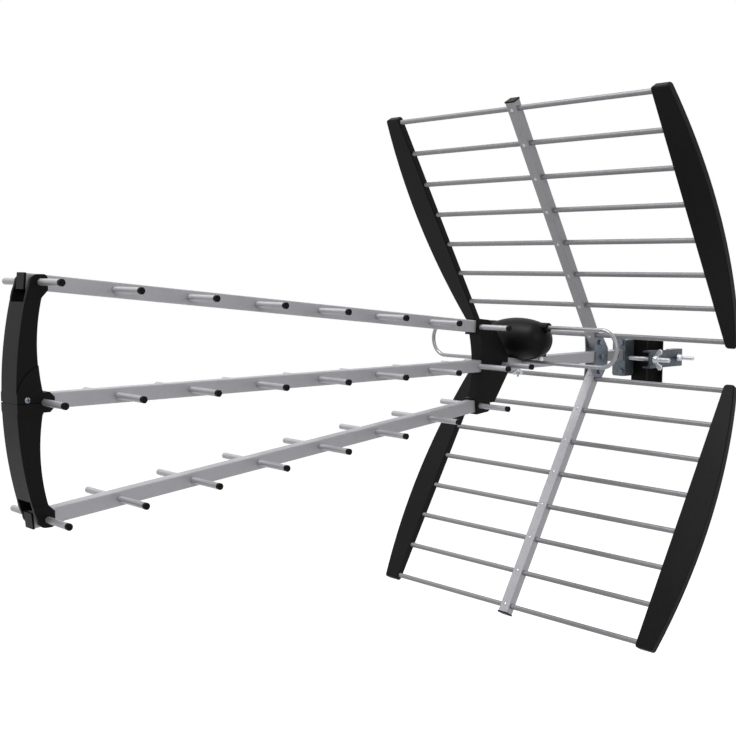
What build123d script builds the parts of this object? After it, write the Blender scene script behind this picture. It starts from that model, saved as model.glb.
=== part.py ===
"""UHF television antenna with three booms, a folded dipole and a two-panel corner reflector.

Millimetres, +Z up. The pieces are drawn about the antenna's own centre plane, x = 0, with the
front of the antenna towards -Y and y = 0 at the rod nearest the middle of each reflector panel.
Lengths called "ahead" are measured from there towards the front, so y = -ahead. The finished
pieces are then moved so that the origin is the axis of the mast at the height of the middle boom.
"""
import os
from math import cos, sin, tan, atan2, radians, degrees, sqrt, pi

from build123d import *

# Tubes
boom_side = 18.0
boom_wall = 1.2
boom_corner = 1.5
rod_diameter = 8.0
rod_wall = 0.8
fit_clearance = 0.05

# Booms and directors, placed by their distance ahead of the reflector
middle_boom_front = 1000.0
middle_boom_rear = -72.0
outer_boom_front = 1000.5
outer_boom_rear = 262.0
front_director_ahead = 988.0
front_director_gap = 98.0
director_pitch = 102.0
director_count = 8
extra_director_ahead = 227.0
director_length = 140.0
outer_boom_rise_front = 133.8
outer_boom_rise_rear = 59.2
cap_head = 4.0
cap_radius = 4.15
cap_stem = 7.0
plug_head = 2.5
plug_lip = 0.3
plug_stem = 8.0

# Reflector panels
panel_angle = 60.6
panel_rise = 36.5
reflector_pitch = 57.3
reflector_count = 8
reflector_rod_length = 530.0
rod_seat_gap = 0.3
arm_width = 18.0
arm_depth = 15.0
arm_wall = 1.2
arm_corner = 1.5
arm_inner_end = -22.0
arm_outer_end = 413.0
rivet_radius = 1.5
rivet_head_radius = 2.9
rivet_head_height = 1.1
rail_grip = 13.0
rail_bulge_out = 34.5
rail_bulge_at = 225.0
rail_foot_out = 4.5
rail_top_out = 16.5
rail_overhang = 8.5
rail_thickness = 12.0
rail_corner = 5.0
rail_edge = 1.5

# Front bracket, in two halves that meet at the middle boom
front_bracket_nose = 1021.0
front_bracket_tip = 1004.5
front_bracket_tip_rise = 124.0
front_bracket_back = 990.0
front_bracket_back_foot = 12.0
front_bracket_back_bulge = 994.5
front_bracket_back_bulge_rise = 52.0
front_bracket_back_end = 987.0
front_bracket_back_rise = 117.0
front_bracket_half_width = 19.0
front_bracket_wall = 3.0
front_lobe_front = 1001.0
front_lobe_back = 979.5
front_lobe_foot = 124.5
front_lobe_rise = 142.6
front_lobe_round = 10.0
front_lobe_back_round = 5.0
front_lobe_step = 0.8
front_lobe_step_rise = 116.0
front_mouth_low = 112.0
front_mouth_back = 987.0
front_collar_back = 975.0
front_collar_half_height = 11.5
front_collar_chamfer = 6.0
front_cavity_foot = 16.0
front_cavity_head = 108.0
front_boss_radius = 45.0
front_boss_centre = 977.0
front_boss_height = 1.5
front_boss_drop = 13.0
parting_groove = 0.6
bracket_screw_ahead = 1009.0
bracket_screw_rise = 4.0
bracket_screw_radius = 2.5
bracket_screw_head = 3.5
bracket_screw_head_height = 2.4
bracket_screw_depth = 30.0

# Rear bracket, in two halves
rear_bracket_front = 273.0
rear_bracket_back = 217.0
rear_front_radius = 200.0
rear_shoulder = 14.0
rear_top_back = 246.0
rear_half_width = 11.5
rear_wall = 2.5
rear_cavity_foot = 12.5
rear_cavity_head = 44.0
rear_top = 56.0
hub_front = 286.0
hub_back = 256.0
hub_side = 24.0
hub_round = 7.0

# Folded dipole and its housing
dipole_ahead = 181.0
dipole_rod_radius = 3.0
dipole_half_length = 192.0
dipole_bar_low = 2.5
dipole_bar_high = 57.0
dipole_feed_gap = 16.0
lug_length = 13.0
lug_width = 10.0
lug_thickness = 3.0
housing_half_across = 60.0
housing_half_deep = 33.0
housing_end_radius = 29.0
housing_centre_rise = 37.0
housing_wall = 2.5
housing_floor = 12.0
neck_half_width = 14.0
neck_front = 200.0
neck_back = 162.0
exit_boss_radius = 7.0
exit_boss_end = 61.0
exit_boss_start = 38.0
dipole_bolt_radius = 2.0
dipole_bolt_head_radius = 4.5
dipole_bolt_head_height = 3.0
dipole_bolt_tail = -22.0
board_half_width = 24.0
board_front = 199.0
board_back = 157.0
board_rise = 30.0
board_thickness = 1.6
board_post_radius = 3.0
board_post_at = 18.0
terminal_at = 14.0
terminal_radius = 3.5
terminal_screw_radius = 2.0
terminal_screw_head = 3.6
terminal_screw_head_height = 2.6
terminal_screw_depth = 8.0
connector_across = 23.0
connector_ahead = 155.0
connector_radius = 4.76
connector_low = 1.0
connector_thread = 8.0
connector_relief_radius = 4.2
connector_relief = 0.8
connector_body_radius = 5.3
connector_boss_radius = 8.8
connector_boss_gap = 0.5
connector_seat = 20.0
connector_room_radius = 6.8
connector_room_head = 37.5
connector_boss_head = 39.5
connector_flange = 11.0
connector_flange_height = 2.5
connector_pin_radius = 0.6
connector_hole_radius = 1.4
board_tab_half_width = 3.0
board_tab_reach = 3.5

# Reflector junction and the end plate at the rear of the middle boom
plate_thickness = 2.0
junction_front = 4.0
junction_back = -28.0
junction_half_height = 34.0
junction_shoulder = 14.0
junction_top_front = 6.0
junction_top_back = -14.0
junction_bolt_ahead = -12.0
arm_bolt_ahead = -7.0
arm_bolt_rise = 24.0
end_plate_corner = 4.0
end_plate_flange_back = -96.0
end_plate_tab_front = -46.0
end_plate_bolt_ahead = -53.0
block_bolt_across = 6.0
block_bolt_rises = (20.0, -28.0)
block_bolt_length = 28.0
cross_bolt_radius = 2.5
cross_bolt_head = 8.0
cross_bolt_head_height = 3.5
cross_bolt_nut_height = 4.0
cross_bolt_tail = 2.0

# Mast clamp
mast_radius = 20.0
mast_ahead = -120.0
mast_across = 39.0
clamp_drop = 5.5
base_half_width = 11.0
base_back = -160.0
base_low = -36.0
base_high = 28.0
base_corner = 3.0
groove_block_half_length = 23.0
groove_block_low = -52.0
groove_block_high = 27.0
groove_block_far_side = 8.0
groove_block_edge = 1.0
clamp_bolt_spacing = 68.0
clamp_bolt_radius = 3.5
clamp_bolt_head_radius = 8.5
clamp_bolt_head_height = 4.5
clamp_bolt_end = 92.0
clamp_bolt_clearance = 0.1
jaw_half_length = 45.5
jaw_tip = 47.0
jaw_half_height = 14.5
jaw_thickness = 2.5
jaw_mast_gap = 0.2
notch_angle = 45.0
notch_teeth = 4
tooth_depth = 1.8
jaw_hole_clearance = 0.3
large_nut_span = 35.0
large_nut_height = 16.0
small_nut_span = 22.0
small_nut_height = 10.0

to_mast = Pos(-mast_across, mast_ahead, 0)


def box(x, y, z):
    """A box from three (low, high) pairs."""
    size = [high - low for low, high in (x, y, z)]
    middle = [(high + low) / 2 for low, high in (x, y, z)]
    return Pos(*middle) * Box(*size)


def along(ahead_back, ahead_front):
    """The y pair between two distances ahead."""
    return (-ahead_front, -ahead_back)


def bar(radius, x, ahead, z):
    """A round bar along X between the pair x."""
    return Pos(sum(x) / 2, -ahead, z) * Rot(Y=90) * Cylinder(radius, x[1] - x[0])


def post(radius, x, ahead, z):
    """A round bar along Z between the pair z."""
    return Pos(x, -ahead, sum(z) / 2) * Cylinder(radius, z[1] - z[0])


def side_slab(face_points, half_width):
    """A slab through the centre plane from points given as (ahead, z)."""
    wire = Polyline(*[(0, -ahead, z) for ahead, z in face_points], close=True)
    return extrude(make_face(wire), half_width, dir=(1, 0, 0), both=True)


def below(shape):
    """The same piece mirrored to the lower side of the antenna."""
    return mirror(shape, about=Plane.XY)


def save(name, *shapes):
    """Write one sub-part, as one solid or as a group of separate ones."""
    placed = [to_mast * shape for shape in shapes]
    solids = [solid for shape in placed for solid in shape.solids()]
    result = solids[0] if len(solids) == 1 else Compound(children=solids)
    export_step(result, f"parts/{name}.step")


# Places worked out from the driving dimensions

director_aheads = [front_director_ahead] + [
    front_director_ahead - front_director_gap - i * director_pitch for i in range(director_count - 1)
]
rear_director_ahead = director_aheads[-1]
boom_slope = (outer_boom_rise_front - outer_boom_rise_rear) / (front_director_ahead - rear_director_ahead)
boom_angle = degrees(atan2(boom_slope, 1))
mast_y = -mast_ahead
clamp_bolt_aheads = [mast_ahead + clamp_bolt_spacing / 2, mast_ahead - clamp_bolt_spacing / 2]
base_front = middle_boom_rear - plate_thickness
base_side = base_half_width + fit_clearance
flange_face = base_side + plate_thickness
half_boom = boom_side / 2
half_boom_fit = half_boom + fit_clearance
jaw_web = mast_across + mast_radius + jaw_mast_gap
jaw_back = jaw_web + jaw_thickness
rod_radius = rod_diameter / 2
rod_bore = rod_radius - rod_wall
rod_hole = rod_radius + fit_clearance
rod_end = reflector_rod_length / 2
rail_inner = rod_end - rail_grip


front_arc_sag = front_bracket_nose - front_bracket_tip
front_arc_radius = (front_bracket_tip_rise**2 + front_arc_sag**2) / (2 * front_arc_sag)
front_arc_centre = front_bracket_nose - front_arc_radius


def boom_rise(ahead):
    """Height of the upper boom's axis at a distance ahead."""
    return outer_boom_rise_rear + boom_slope * (ahead - rear_director_ahead)


def on_upper_boom(ahead):
    """Location on the upper boom's axis, with local -Y running up the boom."""
    return Pos(0, -ahead, boom_rise(ahead)) * Rot(X=-boom_angle)


def boom_bar(half_width, ahead_rear, ahead_front, location_at, corner=0):
    """A square bar along a boom between two distances ahead, with round long edges if asked."""
    length = (ahead_front - ahead_rear) / cos(radians(boom_angle if location_at is on_upper_boom else 0))
    blank = box((-half_width, half_width), (-length, 0), (-half_width, half_width))
    if corner:
        blank = fillet(blank.edges().filter_by(Axis.Y), corner)
    return location_at(ahead_rear) * blank


def on_middle_boom(ahead):
    """Location on the middle boom's axis."""
    return Pos(0, -ahead, 0)


def square_tube(ahead_rear, ahead_front, location_at):
    """A boom without its holes."""
    outside = boom_bar(half_boom, ahead_rear, ahead_front, location_at, boom_corner)
    reach = boom_wall
    bore = boom_bar(half_boom - boom_wall, ahead_rear - reach, ahead_front + reach, location_at)
    return outside - bore


# Booms

def rod_holes(aheads, rise_at):
    """Cutters for the cross holes of a row of rods."""
    across = (-boom_side, boom_side)
    return [bar(rod_hole, across, ahead, rise_at(ahead)) for ahead in aheads]


def cross_hole(ahead, z):
    """Cutter for one cross bolt through plates, a boom or an arm."""
    across = (-boom_side, boom_side)
    return bar(cross_bolt_radius + fit_clearance, across, ahead, z)


def upper_boom():
    """One outer boom, with its cross holes."""
    tube = square_tube(outer_boom_rear, outer_boom_front, on_upper_boom)
    for hole in rod_holes(director_aheads, boom_rise):
        tube -= hole
    return tube


def middle_boom():
    """The long boom that carries the dipole, the reflector and the mast clamp."""
    tube = square_tube(middle_boom_rear, middle_boom_front, on_middle_boom)
    for hole in rod_holes(director_aheads + [extra_director_ahead], lambda ahead: 0):
        tube -= hole
    tube -= bar(dipole_rod_radius + fit_clearance, (-boom_side, boom_side), dipole_ahead, dipole_bar_low)
    tube -= post(dipole_bolt_radius + fit_clearance, 0, dipole_ahead, (-boom_side, boom_side))
    for ahead in (junction_bolt_ahead, end_plate_bolt_ahead):
        tube -= cross_hole(ahead, 0)
    return tube


# Directors and their caps

def director(ahead, z):
    """One director tube, which ends at its cap on the near side."""
    half = director_length / 2
    reach = (-half, half - cap_head)
    return bar(rod_radius, reach, ahead, z) - bar(rod_bore, reach, ahead, z)


def director_cap(ahead, z):
    """The plug in the near end of one director."""
    half = director_length / 2
    end = half - cap_head
    head = bar(cap_radius, (end, half), ahead, z)
    return head + bar(rod_bore - fit_clearance, (end - cap_stem, end), ahead, z)


def boom_plug():
    """Square plug in the front end of an outer boom."""
    half_head = half_boom + plug_lip
    half_stem = half_boom - boom_wall - fit_clearance
    head = box((-half_head, half_head), (-plug_head, 0), (-half_head, half_head))
    stem = box((-half_stem, half_stem), (0, plug_stem), (-half_stem, half_stem))
    return on_upper_boom(outer_boom_front) * (head + stem)


# Reflector, drawn in the plane of the upper panel: x across, y along the arm, z to the front

panel = Plane(
    origin=(0, 0, panel_rise),
    x_dir=(1, 0, 0),
    z_dir=(0, -sin(radians(panel_angle)), -cos(radians(panel_angle))),
)
rod_places = [i * reflector_pitch for i in range(reflector_count)]


def to_panel(ahead, z):
    """A point of the side view as (along the arm, towards the front) in the panel's plane."""
    rise = z - panel_rise
    turn = radians(panel_angle)
    return (ahead * cos(turn) + rise * sin(turn), ahead * sin(turn) - rise * cos(turn))


def panel_rod(place):
    """One reflector rod, with the hole that its rivet goes into."""
    half = reflector_rod_length / 2
    lying = Rot(Y=90) * Cylinder(rod_radius, reflector_rod_length)
    lying -= Rot(Y=90) * Cylinder(rod_bore, 2 * half)
    lying -= Pos(0, 0, rod_radius) * Cylinder(rivet_radius + fit_clearance, rod_diameter)
    return panel.location * Pos(0, place, 0) * lying


def arm():
    """The square arm of a panel."""
    half_width, half_depth = arm_width / 2, arm_depth / 2
    reach = (arm_inner_end, arm_outer_end)
    tube = box((-half_width, half_width), reach, (-half_depth, half_depth))
    tube = fillet(tube.edges().filter_by(Axis.Y), arm_corner)
    inner_width, inner_depth = half_width - arm_wall, half_depth - arm_wall
    tube -= box((-inner_width, inner_width), (reach[0] - 1, reach[1] + 1), (-inner_depth, inner_depth))
    for place in rod_places:
        tube -= Pos(0, place, 0) * Rot(Y=90) * Cylinder(rod_hole, 2 * arm_width)
        tube -= Pos(0, place, half_depth) * Cylinder(rivet_radius + fit_clearance, arm_depth / 2)
    along_arm, off_arm = to_panel(arm_bolt_ahead, arm_bolt_rise)
    bolt_hole = Rot(Y=90) * Cylinder(cross_bolt_radius + fit_clearance, 2 * arm_width)
    tube -= Pos(0, along_arm, off_arm) * bolt_hole
    return panel.location * tube


def arm_cap():
    """Plug in the outer end of an arm."""
    half_width, half_depth = arm_width / 2 + plug_lip / 2, arm_depth / 2 + plug_lip / 2
    head = box((-half_width, half_width), (arm_outer_end, arm_outer_end + plug_head), (-half_depth, half_depth))
    inner_width = arm_width / 2 - arm_wall - fit_clearance
    inner_depth = arm_depth / 2 - arm_wall - fit_clearance
    stem_reach = (arm_outer_end - plug_stem / 2, arm_outer_end)
    stem = box((-inner_width, inner_width), stem_reach, (-inner_depth, inner_depth))
    stem -= Pos(0, rod_places[-1], 0) * Rot(Y=90) * Cylinder(rod_hole, 2 * arm_width)
    return panel.location * (head + stem)


def rivet(place):
    """Blind rivet through the front wall of the arm into one rod."""
    face = arm_depth / 2
    inside = rod_bore - rod_wall
    shank = Pos(0, place, (face + inside) / 2) * Cylinder(rivet_radius, face - inside)
    head = Pos(0, place, face + rivet_head_height / 2) * Cone(
        rivet_head_radius, rivet_head_radius / 2, rivet_head_height
    )
    return panel.location * (shank + head)


def rail(side):
    """Plastic rail that holds one end of every rod of a panel."""
    foot = rod_places[0] - rail_overhang
    top = rod_places[-1] + rail_overhang
    inner_edge = Line((rail_inner, top), (rail_inner, foot))
    foot_end = (rod_end + rail_foot_out, foot)
    top_end = (rod_end + rail_top_out, top)
    foot_edge = Line((rail_inner, foot), foot_end)
    outer_edge = ThreePointArc(foot_end, (rod_end + rail_bulge_out, rail_bulge_at), top_end)
    top_edge = Line(top_end, (rail_inner, top))
    face = make_face(Curve() + [inner_edge, foot_edge, outer_edge, top_edge])
    face = fillet(face.vertices(), rail_corner)
    blade = extrude(face, rail_thickness / 2, both=True)
    blade = chamfer(blade.faces().sort_by(Axis.Z)[-1].edges(), rail_edge)
    blade = chamfer(blade.faces().sort_by(Axis.Z)[0].edges(), rail_edge)
    seat = rod_end + rod_seat_gap
    for place in rod_places:
        middle = (seat + rail_inner - rail_thickness) / 2
        drill = Cylinder(rod_hole, seat - rail_inner + rail_thickness)
        blade -= Pos(middle, place, 0) * Rot(Y=90) * drill
    if side < 0:
        blade = mirror(blade, about=Plane.YZ)
    return panel.location * blade


# Front bracket

def front_outline():
    """Side view of the upper half of the front bracket, as a face in the centre plane."""
    front_half_rise = front_bracket_tip_rise / 2
    front_middle_ahead = front_arc_centre + sqrt(front_arc_radius**2 - front_half_rise**2)

    def round_corner(ahead, z, radius, side):
        """Start, middle and end of a quarter round at the top of the lobe."""
        turn = radius * (1 - sqrt(0.5))
        points = [(ahead, z - radius), (ahead - side * turn, z - turn), (ahead - side * radius, z)]
        return [(0, -place, rise) for place, rise in points]

    nose = (0, -front_bracket_nose, 0)
    tip = (0, -front_bracket_tip, front_bracket_tip_rise)
    front_round = round_corner(front_lobe_front, front_lobe_rise, front_lobe_round, 1)
    rear_round = round_corner(front_lobe_back, front_lobe_rise, front_lobe_back_round, -1)
    lobe_foot = (0, -front_lobe_back, front_lobe_foot)
    back_high = (0, -front_bracket_back_end, front_bracket_back_rise)
    back_bulge = (0, -front_bracket_back_bulge, front_bracket_back_bulge_rise)
    back_foot = (0, -front_bracket_back, front_bracket_back_foot)
    back_low = (0, -front_bracket_back, 0)
    edges = [
        ThreePointArc(nose, (0, -front_middle_ahead, front_half_rise), tip),
        Line(tip, front_round[0]),
        ThreePointArc(*front_round),
        Line(front_round[2], rear_round[2]),
        ThreePointArc(*reversed(rear_round)),
        Line(rear_round[0], lobe_foot),
        Line(lobe_foot, back_high),
        ThreePointArc(back_high, back_bulge, back_foot),
        Line(back_foot, back_low),
        Line(back_low, nose),
    ]
    return make_face(Curve() + edges)


def front_half(boss_rise):
    """Upper half of the front bracket, with its raised pad up to a height."""
    outline = front_outline()
    half_width = front_bracket_half_width
    body = extrude(outline, half_width, dir=(1, 0, 0), both=True)
    step_width = half_width + front_lobe_step
    step = extrude(outline, step_width, dir=(1, 0, 0), both=True)
    body += step & box(
        (-step_width, step_width),
        along(front_lobe_back - 1, front_bracket_nose),
        (front_lobe_step_rise, front_lobe_rise + 1),
    )

    inner_width = half_width - front_bracket_wall
    inside = bar(front_arc_radius - front_bracket_wall, (-inner_width, inner_width), front_arc_centre, 0)
    inside &= box(
        (-inner_width, inner_width),
        along(front_lobe_back, front_bracket_nose),
        (front_cavity_foot, front_cavity_head),
    )
    body -= inside
    body -= box(
        (-inner_width, inner_width),
        along(front_mouth_back, front_bracket_nose),
        (front_mouth_low, front_lobe_rise + 1),
    )

    collar_shoulder = front_collar_half_height - front_collar_chamfer
    body += side_slab([
        (front_bracket_back + 1, 0),
        (front_collar_back, 0),
        (front_collar_back, collar_shoulder),
        (front_collar_back + front_collar_chamfer, front_collar_half_height),
        (front_bracket_back + 1, front_collar_half_height),
    ], half_width)
    pad_width = half_width + front_boss_height
    boss = bar(front_boss_radius, (-pad_width, pad_width), front_boss_centre, 0)
    boss -= bar(front_boss_radius + 1, (-half_width, half_width), front_boss_centre, 0)
    boss &= extrude(outline, pad_width, dir=(1, 0, 0), both=True)
    boss &= box((-pad_width, pad_width), along(front_lobe_back, front_bracket_nose), (0, boss_rise))
    body += boss

    body -= boom_bar(half_boom_fit, front_collar_back - boom_side, middle_boom_front, on_middle_boom)
    body -= boom_bar(half_boom_fit, front_collar_back - boom_side, outer_boom_front + boom_side, on_upper_boom)
    body -= box(
        (-half_boom_fit, half_boom_fit),
        along(front_lobe_back - 1, front_bracket_nose),
        (boom_rise(front_director_ahead), front_lobe_rise + 1),
    )
    half_head = half_boom + plug_lip + fit_clearance
    body -= boom_bar(half_head, outer_boom_front, outer_boom_front + boom_side, on_upper_boom)
    across = (-2 * half_width, 2 * half_width)
    for z in (0, boom_rise(front_director_ahead)):
        body -= bar(rod_hole, across, front_director_ahead, z)

    groove_width = half_width - parting_groove
    groove = box(across, along(front_lobe_back, front_bracket_nose + 1), (0, parting_groove))
    groove -= bar(front_arc_radius - parting_groove, (-groove_width, groove_width), front_arc_centre, 0)
    return body - groove


def bracket_screw_hole():
    """Cutter for the screw in the upper half of the front bracket."""
    start = front_bracket_half_width + front_boss_height
    reach = (start - bracket_screw_depth - fit_clearance, start + front_boss_height)
    return bar(bracket_screw_radius + fit_clearance, reach, bracket_screw_ahead, bracket_screw_rise)


def bracket_screw():
    """Pan-head screw at the middle of the front bracket."""
    seat = front_bracket_half_width + front_boss_height
    shank = bar(bracket_screw_radius, (seat - bracket_screw_depth, seat), bracket_screw_ahead,
                bracket_screw_rise)
    head = bar(bracket_screw_head, (seat, seat + bracket_screw_head_height), bracket_screw_ahead,
               bracket_screw_rise)
    head = fillet(head.faces().sort_by(Axis.X)[-1].edges(), bracket_screw_head_height / 2)
    return shank + head


# Rear bracket

def rear_half():
    """Upper half of the rear bracket, with the hub for the outer boom."""
    front_centre = rear_bracket_front + rear_front_radius
    body = side_slab([
        (rear_bracket_back, 0),
        (rear_bracket_back, rear_shoulder),
        (rear_top_back, rear_top),
        (hub_front, rear_top),
        (hub_front, 0),
    ], rear_half_width)
    body -= bar(rear_front_radius, (-boom_side, boom_side), front_centre, 0)

    inner = rear_half_width - rear_wall
    cavity = box((-inner, inner), along(rear_bracket_back - rear_wall, hub_back),
                 (rear_cavity_foot, rear_cavity_head))
    cavity -= bar(rear_front_radius + rear_wall, (-boom_side, boom_side), front_centre, 0)
    body -= cavity

    hub_centre = (hub_front + hub_back) / 2
    half_hub = hub_side / 2
    hub_half_length = (hub_front - hub_back) / 2
    hub = box((-half_hub, half_hub), (-hub_half_length, hub_half_length), (-half_hub, half_hub))
    hub = fillet(hub.faces().sort_by(Axis.Y)[-1].edges().filter_by(Axis.X), hub_round)
    body += on_upper_boom(hub_centre) * hub

    body -= boom_bar(half_boom_fit, rear_bracket_back - boom_side, hub_front + boom_side, on_middle_boom)
    body -= boom_bar(half_boom_fit, outer_boom_rear - fit_clearance, hub_front + boom_side, on_upper_boom)
    body -= bar(rod_hole, (-boom_side, boom_side), rear_director_ahead, boom_rise(rear_director_ahead))
    body -= bar(rod_hole, (-boom_side, boom_side), extra_director_ahead, 0)
    body -= bar(rod_hole, (-boom_side, boom_side), rear_director_ahead, 0)
    return body


# Dipole

def dipole():
    """Open ring of bent rod, with two flattened ends at the feed."""
    end_radius = (dipole_bar_high - dipole_bar_low) / 2
    straight = dipole_half_length - dipole_rod_radius - end_radius
    middle = (dipole_bar_high + dipole_bar_low) / 2
    start = dipole_feed_gap / 2 + lug_length

    def point(x, z):
        return (x, -dipole_ahead, z)

    near_high, near_low = point(straight, dipole_bar_high), point(straight, dipole_bar_low)
    far_high, far_low = point(-straight, dipole_bar_high), point(-straight, dipole_bar_low)
    path = Curve() + [
        Line(point(start, dipole_bar_high), near_high),
        ThreePointArc(near_high, point(straight + end_radius, middle), near_low),
        Line(near_low, far_low),
        ThreePointArc(far_low, point(-straight - end_radius, middle), far_high),
        Line(far_high, point(-start, dipole_bar_high)),
    ]
    section = Plane(origin=point(start, dipole_bar_high), z_dir=(1, 0, 0)) * Circle(dipole_rod_radius)
    ring = sweep(section, path=path)
    thickness = (dipole_bar_high - lug_thickness / 2, dipole_bar_high + lug_thickness / 2)
    for side in (-1, 1):
        reach = sorted((side * dipole_feed_gap / 2, side * (start + dipole_rod_radius)))
        ring += box(reach, along(dipole_ahead - lug_width / 2, dipole_ahead + lug_width / 2), thickness)
        ring -= post(terminal_screw_radius + fit_clearance, side * terminal_at, dipole_ahead,
                     (dipole_bar_high - lug_width, dipole_bar_high + lug_width))
    ring -= post(dipole_bolt_radius + fit_clearance, 0, dipole_ahead,
                 (dipole_bar_low - lug_width, dipole_bar_low + lug_width))
    return ring


def egg(shrink):
    """The housing's outer form, or its inside when shrunk by the wall."""
    across, deep, end = [size - shrink for size in (housing_half_across, housing_half_deep, housing_end_radius)]
    end_centre = across - end
    side = (end_centre**2 + deep**2 - end**2) / (2 * (deep - end))
    turn = atan2(side - deep, end_centre)
    meet = (side * cos(turn), side * sin(turn) - (side - deep))
    end_middle = (end_centre + end * cos(turn / 2), end * sin(turn / 2))
    outline = make_face(Curve() + [
        ThreePointArc((-meet[0], meet[1]), (0, deep), meet),
        ThreePointArc(meet, end_middle, (across, 0)),
        Line((across, 0), (-across, 0)),
        ThreePointArc((-across, 0), (-end_middle[0], end_middle[1]), (-meet[0], meet[1])),
    ])
    return Pos(0, -dipole_ahead, housing_centre_rise) * revolve(outline, Axis.X)


def housing():
    """Base and cover of the dipole housing, split at the upper bar of the dipole."""
    reach = 2 * housing_half_across
    inside = egg(housing_wall) & box(
        (-reach, reach), along(dipole_ahead - reach, dipole_ahead + reach), (housing_floor, reach)
    )
    shell = egg(0) + box(
        (-neck_half_width, neck_half_width), along(neck_back, neck_front), (half_boom, housing_floor)
    )
    for side in (-1, 1):
        exit_reach = sorted((side * exit_boss_start, side * exit_boss_end))
        shell += bar(exit_boss_radius, exit_reach, dipole_ahead, dipole_bar_high)
    socket_face = connector_low + connector_thread + connector_boss_gap
    shell += post(connector_boss_radius, connector_across, connector_ahead, (socket_face, connector_boss_head))
    shell -= inside
    shell += post(connector_boss_radius, connector_across, connector_ahead, (socket_face, connector_seat))
    for side in (-1, 1):
        shell += post(board_post_radius, side * board_post_at, dipole_ahead, (housing_floor - 1, board_rise))
    shell -= post(connector_body_radius + fit_clearance, connector_across, connector_ahead, (0, board_rise))
    socket_room = (connector_seat, connector_room_head)
    shell -= post(connector_room_radius, connector_across, connector_ahead, socket_room)
    shell -= boom_bar(half_boom_fit, 0, front_collar_back, on_middle_boom)
    shell -= post(dipole_bolt_radius + fit_clearance, 0, dipole_ahead, (-boom_side, housing_floor + 1))
    for z in (dipole_bar_low, dipole_bar_high):
        shell -= bar(dipole_rod_radius + fit_clearance, (-reach, reach), dipole_ahead, z)
    lower = box((-reach, reach), along(0, 2 * dipole_ahead), (-reach, dipole_bar_high))
    base = shell & lower
    cover = shell - lower
    return base, cover


def dipole_bolt():
    """Bolt from the housing floor down through the middle boom."""
    shank = post(dipole_bolt_radius, 0, dipole_ahead, (dipole_bolt_tail, housing_floor))
    head = post(dipole_bolt_head_radius, 0, dipole_ahead,
                (housing_floor, housing_floor + dipole_bolt_head_height))
    return shank + head


def wing_nut(bore, span, height):
    """Wing nut standing on z = 0 with its wings along X."""
    barrel = bore * 1.8
    body = Pos(0, 0, height / 4) * Cone(barrel, barrel * 0.8, height / 2)
    thickness = bore * 0.7
    ear_radius = height * 0.3
    ear_x = span / 2 - ear_radius
    ear_z = height - ear_radius
    wing = Polyline(
        (0, 0, 0),
        (barrel, 0, 0),
        (span / 2, 0, ear_z),
        (ear_x - ear_radius, 0, ear_z),
        (0, 0, height / 2),
        close=True,
    )
    web = extrude(make_face(wing), thickness / 2, dir=(0, 1, 0), both=True)
    web += Pos(ear_x, 0, ear_z) * Rot(X=90) * Cylinder(ear_radius, thickness)
    body += web + mirror(web, about=Plane.YZ)
    return body - Cylinder(bore + fit_clearance, 4 * height)


def dipole_nut():
    """Wing nut below the middle boom."""
    return Pos(0, -dipole_ahead, -half_boom) * Rot(Y=180) * wing_nut(
        dipole_bolt_radius, small_nut_span, small_nut_height
    )


def board():
    """Balun board on its two posts, with a tab over the socket."""
    layer = (board_rise, board_rise + board_thickness)
    plate = box((-board_half_width, board_half_width), along(board_back, board_front), layer)
    tab = (connector_across - board_tab_half_width, connector_across + board_tab_half_width)
    plate += box(tab, along(connector_ahead - board_tab_reach, connector_ahead + connector_room_radius), layer)
    return plate - post(connector_hole_radius, connector_across, connector_ahead, (0, 2 * board_rise))


def terminal_post(side):
    """Brass post from the board to the underside of a lug."""
    foot = board_rise + board_thickness
    top = dipole_bar_high - lug_thickness / 2
    column = post(terminal_radius, side * terminal_at, dipole_ahead, (foot, top))
    drill_depth = terminal_screw_depth + fit_clearance
    return column - post(terminal_screw_radius + fit_clearance, side * terminal_at, dipole_ahead,
                         (top - drill_depth, top))


def terminal_screw(side):
    """Screw through a lug into its post."""
    seat = dipole_bar_high + lug_thickness / 2
    shank_foot = dipole_bar_high - lug_thickness / 2 - terminal_screw_depth
    shank = post(terminal_screw_radius, side * terminal_at, dipole_ahead, (shank_foot, seat))
    head = post(terminal_screw_head, side * terminal_at, dipole_ahead,
                (seat, seat + terminal_screw_head_height))
    return shank + head


def hexagon(across_flats, height):
    """Hexagonal prism standing on z = 0."""
    return extrude(RegularPolygon(across_flats / 2, 6, major_radius=False), height)


def connector():
    """Coaxial socket with its flange inside the housing and its centre pin up to the board."""
    here = Pos(connector_across, -connector_ahead, 0)
    thread_top = connector_low + connector_thread
    body_foot = thread_top + connector_relief

    def turned(radius, low, high):
        return post(radius, connector_across, connector_ahead, (low, high))

    barrel = turned(connector_radius, connector_low, thread_top)
    barrel += turned(connector_relief_radius, thread_top, body_foot)
    barrel += turned(connector_body_radius, body_foot, connector_seat)
    barrel += here * Pos(0, 0, connector_seat) * hexagon(connector_flange, connector_flange_height)
    barrel += turned(connector_hole_radius, connector_seat, board_rise + board_thickness)
    return barrel - turned(connector_pin_radius, connector_low - 1, connector_low + connector_radius)


# Plates and cross bolts

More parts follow.
